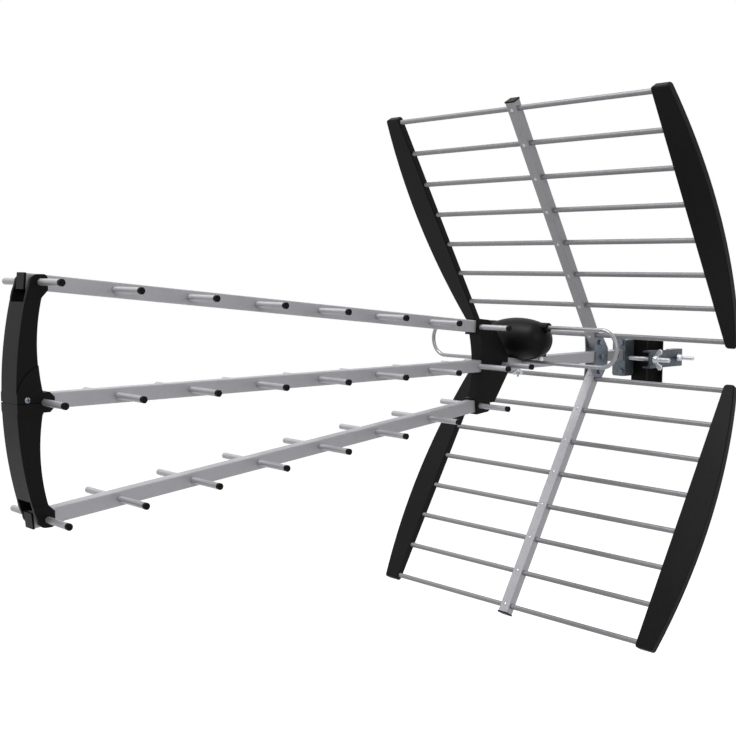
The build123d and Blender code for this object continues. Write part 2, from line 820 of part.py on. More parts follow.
def junction_plate():
    """Steel plate beside the middle boom that carries both arms."""
    outline = [
        (junction_front, junction_shoulder),
        (junction_top_front, junction_half_height),
        (junction_top_back, junction_half_height),
        (junction_back, junction_shoulder),
    ]
    outline += [(ahead, -z) for ahead, z in reversed(outline)]
    plate = side_slab(outline, half_boom + plate_thickness)
    near_side = box((half_boom, boom_side), along(2 * junction_back, 2 * boom_side),
                    (-boom_side * 3, boom_side * 3))
    plate &= near_side
    plate -= cross_hole(junction_bolt_ahead, 0)
    for side in (-1, 1):
        plate -= cross_hole(arm_bolt_ahead, side * arm_bolt_rise)
        plate -= bar(rod_hole, (-boom_side, boom_side), 0, side * panel_rise)
    return plate


def end_plate():
    """Steel channel over the front of the mast block, with two tabs inside the middle boom."""
    across = (-2 * boom_side, 2 * boom_side)
    plate = box((-flange_face, flange_face), along(end_plate_flange_back, middle_boom_rear), (base_low, base_high))
    plate = fillet(plate.edges().filter_by(Axis.Y), end_plate_corner)
    plate -= box((-base_side, base_side), along(end_plate_flange_back - 1, base_front), (base_low - 1, base_high + 1))
    half_tab = half_boom - boom_wall - fit_clearance
    inner = half_tab - plate_thickness
    tabs = box((-half_tab, half_tab), along(middle_boom_rear, end_plate_tab_front), (-half_tab, half_tab))
    tabs -= box((-inner, inner), along(middle_boom_rear, end_plate_tab_front + 1), (-boom_side, boom_side))
    plate = plate + tabs - cross_hole(end_plate_bolt_ahead, 0)
    plate -= bar(clamp_bolt_radius + clamp_bolt_clearance, across, clamp_bolt_aheads[0], -clamp_drop)
    for rise in block_bolt_rises:
        plate -= block_bolt_hole(rise)
    return plate


def block_bolt_hole(z):
    """Cutter for a bolt from the end plate into the mast block."""
    depth = block_bolt_length + fit_clearance
    start = -middle_boom_rear
    drill = Cylinder(cross_bolt_radius + fit_clearance, depth + 1)
    return Pos(block_bolt_across, start + depth / 2 - 0.5, z) * Rot(X=90) * drill


def block_bolt(z):
    """Hexagon bolt through the end plate into the mast block."""
    start = -middle_boom_rear
    shank = Cylinder(cross_bolt_radius, block_bolt_length)
    shank = Pos(block_bolt_across, start + block_bolt_length / 2, z) * Rot(X=90) * shank
    head = hexagon(cross_bolt_head, cross_bolt_head_height)
    head = Pos(block_bolt_across, start, z) * Rot(X=90) * head
    return shank + head


def cross_bolt(ahead, z, face):
    """Hexagon bolt between two faces across the antenna, with its nut."""
    tail = -face - cross_bolt_nut_height - cross_bolt_tail
    shank = bar(cross_bolt_radius, (tail, face), ahead, z)
    head = Pos(face, -ahead, z) * Rot(Y=90) * hexagon(cross_bolt_head, cross_bolt_head_height)
    nut = Pos(-face, -ahead, z) * Rot(Y=-90) * hexagon(cross_bolt_head, cross_bolt_nut_height)
    nut -= bar(cross_bolt_radius + fit_clearance, (-boom_side * 2, 0), ahead, z)
    return [shank + head, nut]


# Mast clamp

def mast_block():
    """Black block behind the end plate, with a half-round groove for the mast."""
    body = box((-base_half_width, base_half_width), along(base_back, base_front), (base_low, base_high))
    body = fillet(body.edges().filter_by(Axis.Z).group_by(Axis.Y)[-1], base_corner)
    groove_block = box(
        (groove_block_far_side, mast_across),
        along(mast_ahead - groove_block_half_length, mast_ahead + groove_block_half_length),
        (groove_block_low, groove_block_high),
    )
    near_face = groove_block.faces().sort_by(Axis.X)[-1]
    groove_block = chamfer(near_face.edges().filter_by(Axis.Y), groove_block_edge)
    body += groove_block
    body -= post(mast_radius, mast_across, mast_ahead, (groove_block_low - 1, groove_block_high + 1))
    for ahead in clamp_bolt_aheads:
        body -= bar(clamp_bolt_radius + clamp_bolt_clearance, (-boom_side, boom_side), ahead, -clamp_drop)
    for rise in block_bolt_rises:
        body -= block_bolt_hole(rise)
    return body


def clamp_bolt(ahead):
    """Round-head bolt of the mast clamp."""
    seat = -flange_face if ahead > end_plate_flange_back else -base_half_width
    shank = bar(clamp_bolt_radius, (seat, clamp_bolt_end), ahead, -clamp_drop)
    head = bar(clamp_bolt_head_radius, (seat - clamp_bolt_head_height, seat), ahead, -clamp_drop)
    head = fillet(head.faces().sort_by(Axis.X)[0].edges(), clamp_bolt_head_height * 0.7)
    return shank + head


def jaw():
    """Channel-shaped steel jaw with a toothed notch in each flange."""
    low, high = -clamp_drop - jaw_half_height, -clamp_drop + jaw_half_height
    length = along(mast_ahead - jaw_half_length, mast_ahead + jaw_half_length)
    channel = box((jaw_tip, jaw_back), length, (low, high))
    channel -= box((jaw_tip - 1, jaw_web), (length[0] - 1, length[1] + 1),
                   (low + jaw_thickness, high - jaw_thickness))

    turn = radians(notch_angle)
    touch = mast_radius + jaw_mast_gap
    foot = touch * (1 - sin(turn)) / cos(turn)
    mouth = (touch - (jaw_tip - mast_across) * sin(turn)) / cos(turn)
    slope_x, slope_y = jaw_tip - jaw_web, mouth - foot
    edge = [(jaw_web, foot)]
    for i in range(notch_teeth):
        middle, end = (i + 0.5) / notch_teeth, (i + 1) / notch_teeth
        valley_x = min(jaw_web + slope_x * middle + tooth_depth * sin(turn), jaw_web)
        edge.append((valley_x, foot + slope_y * middle + tooth_depth * cos(turn)))
        edge.append((jaw_web + slope_x * end, foot + slope_y * end))
    edge.append((jaw_tip - 1, mouth))
    points = [(x, mast_y + y, 0) for x, y in edge]
    points += [(x, mast_y - y, 0) for x, y in reversed(edge)]
    channel -= extrude(make_face(Polyline(*points, close=True)), 2 * jaw_half_length, both=True)
    for ahead in clamp_bolt_aheads:
        channel -= bar(clamp_bolt_radius + jaw_hole_clearance, (jaw_tip, jaw_back + 1), ahead, -clamp_drop)
    return channel


def jaw_nut(ahead, turn):
    """Wing nut outside the jaw, with its wings upright or turned about the bolt."""
    nut = wing_nut(clamp_bolt_radius + jaw_hole_clearance, large_nut_span, large_nut_height)
    return Pos(jaw_back, -ahead, -clamp_drop) * Rot(Y=90) * Rot(Z=turn) * nut


def build():
    """Make and write every sub-part."""
    os.makedirs("parts", exist_ok=True)
    boom = upper_boom()
    save("top_boom", boom)
    save("bottom_boom", below(boom))
    save("middle_boom", middle_boom())

    rows = {
        "top": [(ahead, boom_rise(ahead)) for ahead in director_aheads],
        "middle": [(ahead, 0) for ahead in director_aheads + [extra_director_ahead]],
        "bottom": [(ahead, -boom_rise(ahead)) for ahead in director_aheads],
    }
    caps = []
    for row, places in rows.items():
        for number, (ahead, z) in enumerate(places, start=1):
            save(f"{row}_director_{number}", director(ahead, z))
            caps.append(director_cap(ahead, z))
    save("director_caps", *caps)

    rods = [panel_rod(place) for place in rod_places]
    rivets = [rivet(place) for place in rod_places]
    save("upper_reflector_rods", *rods)
    save("lower_reflector_rods", *[below(rod) for rod in rods])
    save("rod_rivets", *rivets, *[below(shape) for shape in rivets])
    save("upper_arm", arm())
    save("lower_arm", below(arm()))
    save("tube_plugs", boom_plug(), below(boom_plug()), arm_cap(), below(arm_cap()))
    for name, side in (("right", 1), ("left", -1)):
        save(f"upper_{name}_rail", rail(side))
        save(f"lower_{name}_rail", below(rail(side)))

    save("front_bracket_upper", front_half(front_lobe_rise) - bracket_screw_hole())
    save("front_bracket_lower", below(front_half(front_boss_drop)))
    save("bracket_screw", bracket_screw())
    save("rear_bracket_upper", rear_half())
    save("rear_bracket_lower", below(rear_half()))

    save("folded_dipole", dipole())
    base, cover = housing()
    save("housing_base", base)
    save("housing_cover", cover)
    save("dipole_bolt", dipole_bolt())
    save("dipole_wing_nut", dipole_nut())
    save("balun_board", board())
    save("terminal_posts", terminal_post(-1), terminal_post(1))
    save("terminal_screws", terminal_screw(-1), terminal_screw(1))
    save("coaxial_socket", connector())

    plate = junction_plate()
    save("junction_plates", plate, mirror(plate, about=Plane.YZ))
    save("end_plate", end_plate())
    plate_face = half_boom + plate_thickness
    bolts = cross_bolt(end_plate_bolt_ahead, 0, half_boom)
    bolts += cross_bolt(junction_bolt_ahead, 0, plate_face)
    for side in (-1, 1):
        bolts += cross_bolt(arm_bolt_ahead, side * arm_bolt_rise, plate_face)
    bolts += [block_bolt(rise) for rise in block_bolt_rises]
    save("cross_bolts", *bolts)

    save("mast_block", mast_block())
    save("clamp_bolts", *[clamp_bolt(ahead) for ahead in clamp_bolt_aheads])
    save("mast_jaw", jaw())
    front_bolt, rear_bolt = clamp_bolt_aheads
    save("jaw_wing_nuts", jaw_nut(front_bolt, 0), jaw_nut(rear_bolt, 90))


build()
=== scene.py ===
"""Finishes a three-boom UHF television antenna: metals, moulded plastic, threads and wing nuts."""
import math

import bmesh
import bpy
from mathutils import Matrix, Vector


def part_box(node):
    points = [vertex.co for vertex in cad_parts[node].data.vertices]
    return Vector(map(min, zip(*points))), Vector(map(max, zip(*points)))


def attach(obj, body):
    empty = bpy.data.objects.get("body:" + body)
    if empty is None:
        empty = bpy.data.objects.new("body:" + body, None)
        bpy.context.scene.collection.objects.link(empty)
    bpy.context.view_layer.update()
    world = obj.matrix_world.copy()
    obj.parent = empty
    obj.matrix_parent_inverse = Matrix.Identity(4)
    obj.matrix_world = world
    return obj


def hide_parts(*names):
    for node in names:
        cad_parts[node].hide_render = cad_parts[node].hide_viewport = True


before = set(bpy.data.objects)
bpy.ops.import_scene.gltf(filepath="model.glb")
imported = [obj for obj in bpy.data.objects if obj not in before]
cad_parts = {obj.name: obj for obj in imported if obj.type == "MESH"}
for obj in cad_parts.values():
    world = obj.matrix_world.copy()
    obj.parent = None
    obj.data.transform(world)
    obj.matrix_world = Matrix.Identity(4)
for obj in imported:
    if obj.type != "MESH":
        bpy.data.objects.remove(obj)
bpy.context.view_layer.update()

bl_info = {
    "name": "UHF antenna finishes",
    "version": (1, 0, 0),
    "blender": (4, 5, 0),
    "location": "View3D > Sidebar > Antenna",
    "description": "Finishes the tubes, mouldings, bolts and nuts of a UHF television antenna",
    "category": "Object",
}

ANTENNA_BODY = "antenna"
JAW_BODY = "jaw"

# Sizes of the finer forms, in metres
WELD = 1e-6
MOULDING_EDGE = 0.0004
PLATE_EDGE = 0.0003
RIVET_HEAD_HEIGHT = 0.0011
HEXAGON_ACROSS_FLATS = 0.008
HEXAGON_HEAD_HEIGHT = 0.0035
HEXAGON_BOLT_RADIUS = 0.0025
SHORTEST_HEXAGON_BOLT = 0.02
BRACKET_SCREW_HEAD_HEIGHT = 0.0024
BRACKET_SCREW_RADIUS = 0.0025
BRACKET_SCREW_PITCH = 0.0011
DIPOLE_BOLT_HEAD_HEIGHT = 0.003
DIPOLE_BOLT_RADIUS = 0.002
CLAMP_BOLT_HEAD_HEIGHT = 0.0045
CLAMP_BOLT_RADIUS = 0.0035
JAW_NUT_BORE_RADIUS = 0.0037
SOCKET_THREAD_RADIUS = 0.00476
SOCKET_THREAD_START = 0.0004
SOCKET_THREAD_END = 0.008
SOCKET_SHOULDER = 0.0088
SOCKET_BODY_RADIUS = 0.0053
SOCKET_BODY_END = 0.019
SOCKET_PIN_RADIUS = 0.0014
SOCKET_FLANGE_ACROSS_FLATS = 0.011
SOCKET_FLANGE_HEIGHT = 0.0025
# Places along the socket from its mouth, each with its radius
SOCKET_MOUTH = (
    (0.0002, 0.0), (0.0002, 0.0034), (0.0, 0.0036),
    (0.0, 0.0041), (0.0005, 0.0042), (0.0086, 0.0042),
)

# A thread, as shares of its pitch, with its profile as (place, share of the depth)
THREAD_DEPTH = 0.55
THREAD_PROFILE = ((0.0, 0.0), (0.10, 0.0), (0.45, 1.0), (0.60, 1.0), (0.95, 0.0))
THREAD_WELD = 0.002

# Shares of a rivet's head: its height and its radius
RIVET_SHANK = 0.51
RIVET_HEAD = (
    (0.0, 0.98), (0.12, 1.0), (0.42, 0.90), (0.74, 0.66), (0.95, 0.40), (1.0, 0.30), (0.86, 0.24),
)
RIVET_HOLLOW = 0.80

# Shares of a hexagon's height at which its form is ruled
HEXAGON_MARKS = (0.0, 0.03, 0.07, 0.12, 0.2, 0.35, 0.65, 0.8, 0.88, 0.93, 0.97, 1.0)
HEXAGON_CHAMFER_START = 0.95

# The small wing nut, as shares of its bolt's radius and of the large nuts' sizes
DIPOLE_NUT_BORE = 0.98
DIPOLE_NUT_WING = 0.75
DIPOLE_NUT_DETAIL = 0.8

# Scales of the fine lines on drawn tubes, and the grey of the plastic's specks and of its lighter
# upward faces
LINES_ALONG = 14.0
LINES_ACROSS = 1500.0
UPWARD_AND_SPECK_GREY = (0.055, 0.055, 0.052)

# Studio, in metres, with lamps as (name, place, size, share of the key lamp's power)
WHITE = (1.0, 1.0, 1.0)
FLOOR_REACH = 30.0
FLOOR_PAPER = (0.5, 0.5, 0.5)
FLOOR_GLOW = 0.9
WORLD_LIGHT = 0.2
WORLD_SHOWN = 1.0
LAMPS = (
    ("key_lamp", (-0.9, -1.6, 2.6), 1.8, 1.0),
    ("fill_lamp", (2.4, -1.6, 1.2), 2.2, 0.3),
    ("back_lamp", (0.4, 2.2, 1.8), 1.6, 0.3),
)
LAMP_TARGET = (-0.039, -0.5, 0.0)
SENSOR_WIDTH = 36.0
NEAREST_SEEN = 0.05
FARTHEST_SEEN = 80.0


# Settings

class AntennaMetalSettings(bpy.types.PropertyGroup):
    """Colours and textures of the metals."""

    aluminium: bpy.props.FloatVectorProperty(
        name="Aluminium",
        description="Colour of the drawn tubes",
        subtype="COLOR",
        size=3,
        min=0.0,
        max=1.0,
        default=(0.43, 0.43, 0.455),
    )
    aluminium_roughness: bpy.props.FloatProperty(
        name="Aluminium roughness",
        description="Roughness of the drawn tubes",
        subtype="FACTOR",
        min=0.0,
        max=1.0,
        default=0.40,
    )
    aluminium_metallic: bpy.props.FloatProperty(
        name="Aluminium metallic",
        description="How metallic the weathered tubes are",
        subtype="FACTOR",
        min=0.0,
        max=1.0,
        default=0.30,
    )
    rod_tone: bpy.props.FloatProperty(
        name="Rod tone",
        description="How dark the reflector rods and the dipole are beside the booms",
        subtype="FACTOR",
        min=0.0,
        max=1.0,
        default=0.57,
    )
    zinc: bpy.props.FloatVectorProperty(
        name="Zinc",
        description="Colour of the zinc-plated plates and bolts",
        subtype="COLOR",
        size=3,
        min=0.0,
        max=1.0,
        default=(0.125, 0.142, 0.165),
    )
    brass: bpy.props.FloatVectorProperty(
        name="Brass",
        description="Colour of the terminals",
        subtype="COLOR",
        size=3,
        min=0.0,
        max=1.0,
        default=(0.60, 0.42, 0.16),
    )
    nickel: bpy.props.FloatVectorProperty(
        name="Nickel",
        description="Colour of the coaxial socket",
        subtype="COLOR",
        size=3,
        min=0.0,
        max=1.0,
        default=(0.80, 0.80, 0.79),
    )


class AntennaPlasticSettings(bpy.types.PropertyGroup):
    """Colours and texture of the mouldings."""

    black: bpy.props.FloatVectorProperty(
        name="Black",
        description="Colour of the black mouldings",
        subtype="COLOR",
        size=3,
        min=0.0,
        max=1.0,
        default=(0.0031, 0.0033, 0.0030),
    )
    grain: bpy.props.FloatProperty(
        name="Grain",
        description="Size of the moulded grain",
        subtype="DISTANCE",
        unit="LENGTH",
        min=0.0001,
        max=0.01,
        default=0.0009,
    )
    board: bpy.props.FloatVectorProperty(
        name="Board",
        description="Colour of the circuit board's lacquer",
        subtype="COLOR",
        size=3,
        min=0.0,
        max=1.0,
        default=(0.015, 0.10, 0.04),
    )


class AntennaFastenerSettings(bpy.types.PropertyGroup):
    """Sizes of the threads and wing nuts."""

    bolt_pitch: bpy.props.FloatProperty(
        name="Hexagon bolt pitch",
        description="Pitch of the hexagon bolts' threads",
        subtype="DISTANCE",
        unit="LENGTH",
        min=0.0003,
        max=0.003,
        default=0.0008,
    )
    wing_thickness: bpy.props.FloatProperty(
        name="Wing thickness",
        description="Thickness of the wing nuts' wings",
        subtype="DISTANCE",
        unit="LENGTH",
        min=0.001,
        max=0.005,
        default=0.0028,
    )
    cast_detail: bpy.props.FloatProperty(
        name="Cast detail",
        description="Size of the smallest form kept on the cast wing nuts",
        subtype="DISTANCE",
        unit="LENGTH",
        min=0.0002,
        max=0.002,
        default=0.00045,
    )
    clamp_pitch: bpy.props.FloatProperty(
        name="Clamp bolt pitch",
        description="Pitch of the mast clamp's threads",
        subtype="DISTANCE",
        unit="LENGTH",
        min=0.0003,
        max=0.003,
        default=0.00125,
    )
    dipole_pitch: bpy.props.FloatProperty(
        name="Dipole bolt pitch",
        description="Pitch of the dipole bolt's thread",
        subtype="DISTANCE",
        unit="LENGTH",
        min=0.0003,
        max=0.003,
        default=0.001,
    )
    socket_pitch: bpy.props.FloatProperty(
        name="Socket pitch",
        description="Pitch of the coaxial socket's thread",
        subtype="DISTANCE",
        unit="LENGTH",
        min=0.0003,
        max=0.003,
        default=0.0008,
    )


class AntennaStudioSettings(bpy.types.PropertyGroup):
    """Floor, lamps and camera."""

    floor_height: bpy.props.FloatProperty(
        name="Floor height",
        description="Height of the floor below the mast clamp",
        subtype="DISTANCE",
        unit="LENGTH",
        default=-0.95,
    )
    camera_place: bpy.props.FloatVectorProperty(
        name="Camera place",
        description="Where the camera stands",
        subtype="TRANSLATION",
        unit="LENGTH",
        size=3,
        default=(1.2452, -1.7312, 0.1564),
    )
    camera_azimuth: bpy.props.FloatProperty(
        name="Camera azimuth",
        description="Direction of the camera about the mast",
        subtype="ANGLE",
        unit="ROTATION",
        default=math.radians(48.91),
    )
    camera_drop: bpy.props.FloatProperty(
        name="Camera drop",
        description="Angle at which the camera looks down",
        subtype="ANGLE",
        unit="ROTATION",
        default=math.radians(7.13),
    )
    lens: bpy.props.FloatProperty(
        name="Lens",
        description="Focal length for a sensor 36 mm wide, in millimetres",
        min=10.0,
        max=400.0,
        default=60.03,
    )
    lens_rise: bpy.props.FloatProperty(
        name="Lens rise",
        description="Vertical shift of the lens, in frame widths",
        min=-0.5,
        max=0.5,
        default=0.0638,
    )
    key_power: bpy.props.FloatProperty(
        name="Key lamp",
        description="Power of the large lamp",
        subtype="POWER",
        min=0.0,
        default=78.0,
    )


# Shader building

class Value:
    """A shader socket that can be used in an expression."""

    def __init__(self, graph, socket):
        self.graph = graph
        self.socket = socket

    def math(self, operation, *others):
        inputs = {number: part for number, part in enumerate((self, *others))}
        return self.graph.node("ShaderNodeMath", {"operation": operation}, inputs)

    def beside(self, name):
        """Another output of the same node."""
        return Value(self.graph, self.socket.node.outputs[name])

    def __add__(self, other):
        return self.math("ADD", other)

    __radd__ = __add__

    def __mul__(self, other):
        return self.math("MULTIPLY", other)

    __rmul__ = __mul__

    def __sub__(self, other):
        return self.math("SUBTRACT", other)

    def __rsub__(self, other):
        return (self * -1.0) + other


class Graph:
    """The nodes of a material or of the world."""

    def __init__(self, owner):
        owner.use_nodes = True
        self.tree = owner.node_tree
        self.tree.nodes.clear()

    def feed(self, socket, value):
        """Sets a socket, or links it."""
        if isinstance(value, Value):
            self.tree.links.new(value.socket, socket)
        elif isinstance(value, (tuple, list)) and socket.type == "RGBA":
            socket.default_value = (*value[:3], 1.0)
        else:
            socket.default_value = value

    def node(self, kind, settings=None, inputs=None, output=0):
        """Adds a node: its settings first, then the values or links of its sockets."""
        made = self.tree.nodes.new(kind)
        for name, setting in (settings or {}).items():
            if name == "stops":
                elements = made.color_ramp.elements
                for place, _ in setting[2:]:
                    elements.new(place)
                for element, (place, tone) in zip(elements, setting):
                    element.position = place
                    element.color = (tone, tone, tone, 1.0)
            else:
                setattr(made, name, setting)
        for name, value in (inputs or {}).items():
            self.feed(made.inputs[name], value)
        return Value(self, made.outputs[output]) if len(made.outputs) else None

    def seen(self):
        """1 for what the camera sees, also reflected or through glass, and 0 for other light."""
        camera = self.node("ShaderNodeLightPath", output="Is Camera Ray")
        mirrored = camera.math("MAXIMUM", camera.beside("Is Glossy Ray"))
        return mirrored.math("MAXIMUM", camera.beside("Is Transmission Ray"))


class Finish(Graph):
    """One node material."""

    def __init__(self, name):
        self.material = bpy.data.materials.new(name)
        super().__init__(self.material)

    def place(self, scale=(1.0, 1.0, 1.0), turn=(0.0, 0.0, 0.0)):
        """Object coordinates in metres, turned and then scaled."""
        here = self.node("ShaderNodeTexCoord", output="Object")
        turned = self.node("ShaderNodeMapping", inputs={"Vector": here, "Rotation": turn})
        return self.node("ShaderNodeMapping", inputs={"Vector": turned, "Scale": scale})

    def noise(self, where, scale=1.0, detail=2.0, roughness=0.5):
        """Fractal noise from 0 to 1."""
        return self.node(
            "ShaderNodeTexNoise",
            inputs={"Vector": where, "Scale": scale, "Detail": detail, "Roughness": roughness},
        )

    def ramp(self, value, *stops):
        """A grey ramp."""
        return self.node("ShaderNodeValToRGB", {"stops": list(stops)}, {"Fac": value})

    def spread(self, value, low, high):
        """A value from 0 to 1 spread between two numbers."""
        return self.node(
            "ShaderNodeMapRange", inputs={"Value": value, "To Min": low, "To Max": high}
        )

    def mix(self, factor, first, second):
        """Mixes two colours."""
        return self.node(
            "ShaderNodeMix", {"data_type": "RGBA"}, {0: factor, 6: first, 7: second}, output=2
        )

    def bump(self, height, distance, strength=1.0):
        """A normal from a height in 0 to 1 and its depth in metres."""
        return self.node(
            "ShaderNodeBump", inputs={"Height": height, "Distance": distance, "Strength": strength}
        )

    def facing_up(self):
        """How far the surface faces up, from 0 to 1."""
        normal = self.node("ShaderNodeNewGeometry", output="Normal")
        split = self.node("ShaderNodeSeparateXYZ", inputs={"Vector": normal}, output="Z")
        return split.math("MAXIMUM", 0.0)

    def surface(self, **inputs):
        """The Principled shader, with spaces in its sockets' names written as underscores."""
        return self.node(
            "ShaderNodeBsdfPrincipled",
            inputs={name.replace("_", " "): value for name, value in inputs.items()},
        )

    def done(self, shader):
        """Puts the shader on the material and returns the material."""
        self.node("ShaderNodeOutputMaterial", inputs={"Surface": shader})
        return self.material


def shade(colour, factor):
    """A colour made darker or lighter."""
    return tuple(min(1.0, part * factor) for part in colour)


def drawn_aluminium(name, settings, turn=0.0, across=False, level=1.0, polish=0.0):
    """Weathered drawn aluminium, with faint lines along the tube.

    The tube runs along Y turned by an angle about X, or along X. The level makes its colour darker
    or lighter, and the polish makes it smoother and more metallic.
    """
    finish = Finish(name)
    if across:
        lines_scale = (LINES_ALONG, LINES_ACROSS, LINES_ACROSS)
    else:
        lines_scale = (LINES_ACROSS, LINES_ALONG, LINES_ACROSS)
    lines = finish.noise(finish.place(lines_scale, (turn, 0.0, 0.0)), detail=3.0, roughness=0.6)
    clouds = finish.noise(finish.place(), scale=28.0, detail=4.0, roughness=0.62)
    fine = finish.noise(finish.place(), scale=900.0, detail=2.0)
    base = shade(tuple(settings.aluminium), level)
    tone = lines * 0.45 + clouds * 0.55
    colour = finish.mix(tone, shade(base, 0.84), shade(base, 1.16))
    dull = finish.ramp(clouds, (0.55, 0.0), (0.78, 1.0))
    spots = finish.noise(finish.place(), scale=1400.0, detail=1.0)
    pits = finish.ramp(spots, (0.68, 0.0), (0.76, 1.0))
    rough = settings.aluminium_roughness - polish
    metallic = settings.aluminium_metallic + polish
    return finish.done(finish.surface(
        Base_Color=finish.mix(dull * 0.3 + pits * 0.3, colour, shade(base, 0.66)),
        Metallic=finish.spread(dull, metallic, metallic - 0.15),
        Roughness=finish.spread(clouds * 0.6 + lines * 0.4, rough - 0.08, rough + 0.14),
        Normal=finish.bump(lines * 0.75 + fine * 0.25, 0.00005),
    ))


def moulded_plastic(name, settings):
    """Black plastic with a fine moulded grain, flow marks, grey dust specks and a faint grey on
    upward faces.
    """
    finish = Finish(name)
    here = finish.place()
    grain = finish.noise(here, scale=1.0 / settings.grain, detail=2.0, roughness=0.55)
    haze = finish.noise(here, scale=22.0, detail=5.0, roughness=0.65)
    flow = finish.noise(finish.place((9.0, 9.0, 60.0), (0.25, 0.1, 0.0)), detail=3.0)
    specks = finish.ramp(finish.noise(here, scale=420.0, detail=1.0), (0.64, 0.0), (0.74, 1.0))
    base = tuple(settings.black)
    weathered = finish.mix(haze * 0.7 + flow * 0.3, shade(base, 0.65), shade(base, 1.5))
    # Grey dust specks, and a faint grey that grows on upward faces.
    upward_grey_and_specks = finish.facing_up() * haze * 0.10 + specks * 0.12
    return finish.done(finish.surface(
        Base_Color=finish.mix(upward_grey_and_specks, weathered, UPWARD_AND_SPECK_GREY),
        Roughness=finish.spread(haze * 0.6 + grain * 0.4, 0.32, 0.54),
        Specular_IOR_Level=0.09,
        Normal=finish.bump(grain * 0.85 + flow * 0.15, 0.00012, 0.6),
    ))


def zinc_plate(name, settings, level=1.0, metallic=0.9):
    """Zinc-plated steel with faint crystals, dull mottled areas and scratches; the colour's strong
    light and dark mottling is partly real plating and partly painted reflection.
    """
    finish = Finish(name)
    here = finish.place()
    crystals = finish.node(
        "ShaderNodeTexVoronoi", {"feature": "F1"}, {"Vector": here, "Scale": 260.0}, output="Color"
    )
    mottling_and_reflections = finish.noise(here, scale=60.0, detail=4.0, roughness=0.6)
    scratches = finish.noise(finish.place((120.0, 1600.0, 700.0), (0.3, 0.2, 0.5)), detail=2.0)
    grey = finish.node("ShaderNodeRGBToBW", inputs={"Color": crystals})
    base = shade(tuple(settings.zinc), level)
    tone = grey * 0.35 + mottling_and_reflections * 0.65
    return finish.done(finish.surface(
        # Strong light and dark mottling in the colour: partly real plating, partly painted
        # reflection.
        Base_Color=finish.mix(tone, shade(base, 0.45), shade(base, 1.60)),
        Metallic=metallic,
        Roughness=finish.spread(mottling_and_reflections * 0.7 + scratches * 0.3, 0.20, 0.48),
        Normal=finish.bump(scratches * 0.5 + mottling_and_reflections * 0.5, 0.00006, 0.7),
    ))


def bright_metal(name, colour, low, high):
    """Plated or turned metal, with slight tarnish."""
    finish = Finish(name)
    here = finish.place()
    tarnish = finish.noise(here, scale=240.0, detail=4.0, roughness=0.6)
    marks = finish.noise(here, scale=2600.0, detail=2.0)
    return finish.done(finish.surface(
        Base_Color=finish.mix(tarnish, shade(colour, 0.80), shade(colour, 1.12)),
        Metallic=1.0,
        Roughness=finish.spread(tarnish, low, high),
        Normal=finish.bump(marks, 0.00002, 0.5),
    ))


def lacquered_board(name, settings):
    """Circuit board lacquer over copper tracks."""
    finish = Finish(name)
    here = finish.place()
    cells = finish.node(
        "ShaderNodeTexVoronoi", {"feature": "DISTANCE_TO_EDGE"}, {"Vector": here, "Scale": 150.0}
    )
    tracks = finish.ramp(cells, (0.05, 1.0), (0.09, 0.0))
    cloth = finish.noise(here, scale=1400.0, detail=2.0)
    base = tuple(settings.board)
    return finish.done(finish.surface(
        Base_Color=finish.mix(tracks, base, shade(base, 1.9)),
        Roughness=finish.spread(cloth, 0.25, 0.38),
        Normal=finish.bump(tracks * 0.7 + cloth * 0.3, 0.00004, 0.6),
    ))


def wear(thing, material):
    """Gives an object one material."""
    thing.data.materials.clear()
    thing.data.materials.append(material)


# Mesh building

def link_object(name, data):
    """Puts a mesh, lamp or camera in the scene as an object."""
    thing = bpy.data.objects.new(name, data)
    bpy.context.scene.collection.objects.link(thing)
    return thing


def closed_mesh(name, bm):
    """Turns a bmesh into a mesh whose faces look outwards."""
    bmesh.ops.recalc_face_normals(bm, faces=bm.faces)
    mesh = bpy.data.meshes.new(name)
    bm.to_mesh(mesh)
    bm.free()
    return mesh


def finished_piece(name, mesh, material, body):
    """Makes a smooth piece that rides on a body."""
    piece = link_object(name, mesh)
    mesh.shade_smooth()
    wear(piece, material)
    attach(piece, body)
    return piece


def mesh_object(name, bm, material, body, smooth_angle=35.0):
    """Turns a bmesh into a finished piece with sharp edges above an angle in degrees."""
    mesh = closed_mesh(name, bm)
    piece = finished_piece(name, mesh, material, body)
    mesh.set_sharp_from_angle(angle=math.radians(smooth_angle))
    return piece


def add_vertex(bm, place, angle, radius, along):
    """Adds a vertex about local Z."""
    turned_point = Vector((radius * math.cos(angle), radius * math.sin(angle), along))
    return bm.verts.new(place @ turned_point)


def add_ring(bm, place, radius, along, steps):
    """Adds a ring of vertices about local Z, or one vertex where there is no radius."""
    if radius == 0.0:
        return [add_vertex(bm, place, 0.0, radius, along)]
    return [add_vertex(bm, place, 2 * math.pi * i / steps, radius, along) for i in range(steps)]


def bridge(bm, lower, upper):
    """Joins two rings with faces, where either may be a single vertex."""
    steps = max(len(lower), len(upper))
    for i in range(steps):
        j = (i + 1) % steps
        corners = (
            lower[i % len(lower)], lower[j % len(lower)],
            upper[j % len(upper)], upper[i % len(upper)],
        )
        unique = list(dict.fromkeys(corners))
        if len(unique) > 2:
            bm.faces.new(unique)


def turned(bm, profile, place, steps=48):
    """Adds a closed turned form from (along, radius) pairs that start and end on the axis."""
    rings = [add_ring(bm, place, radius, along, steps) for along, radius in profile]
    for lower, upper in zip(rings, rings[1:]):
        bridge(bm, lower, upper)


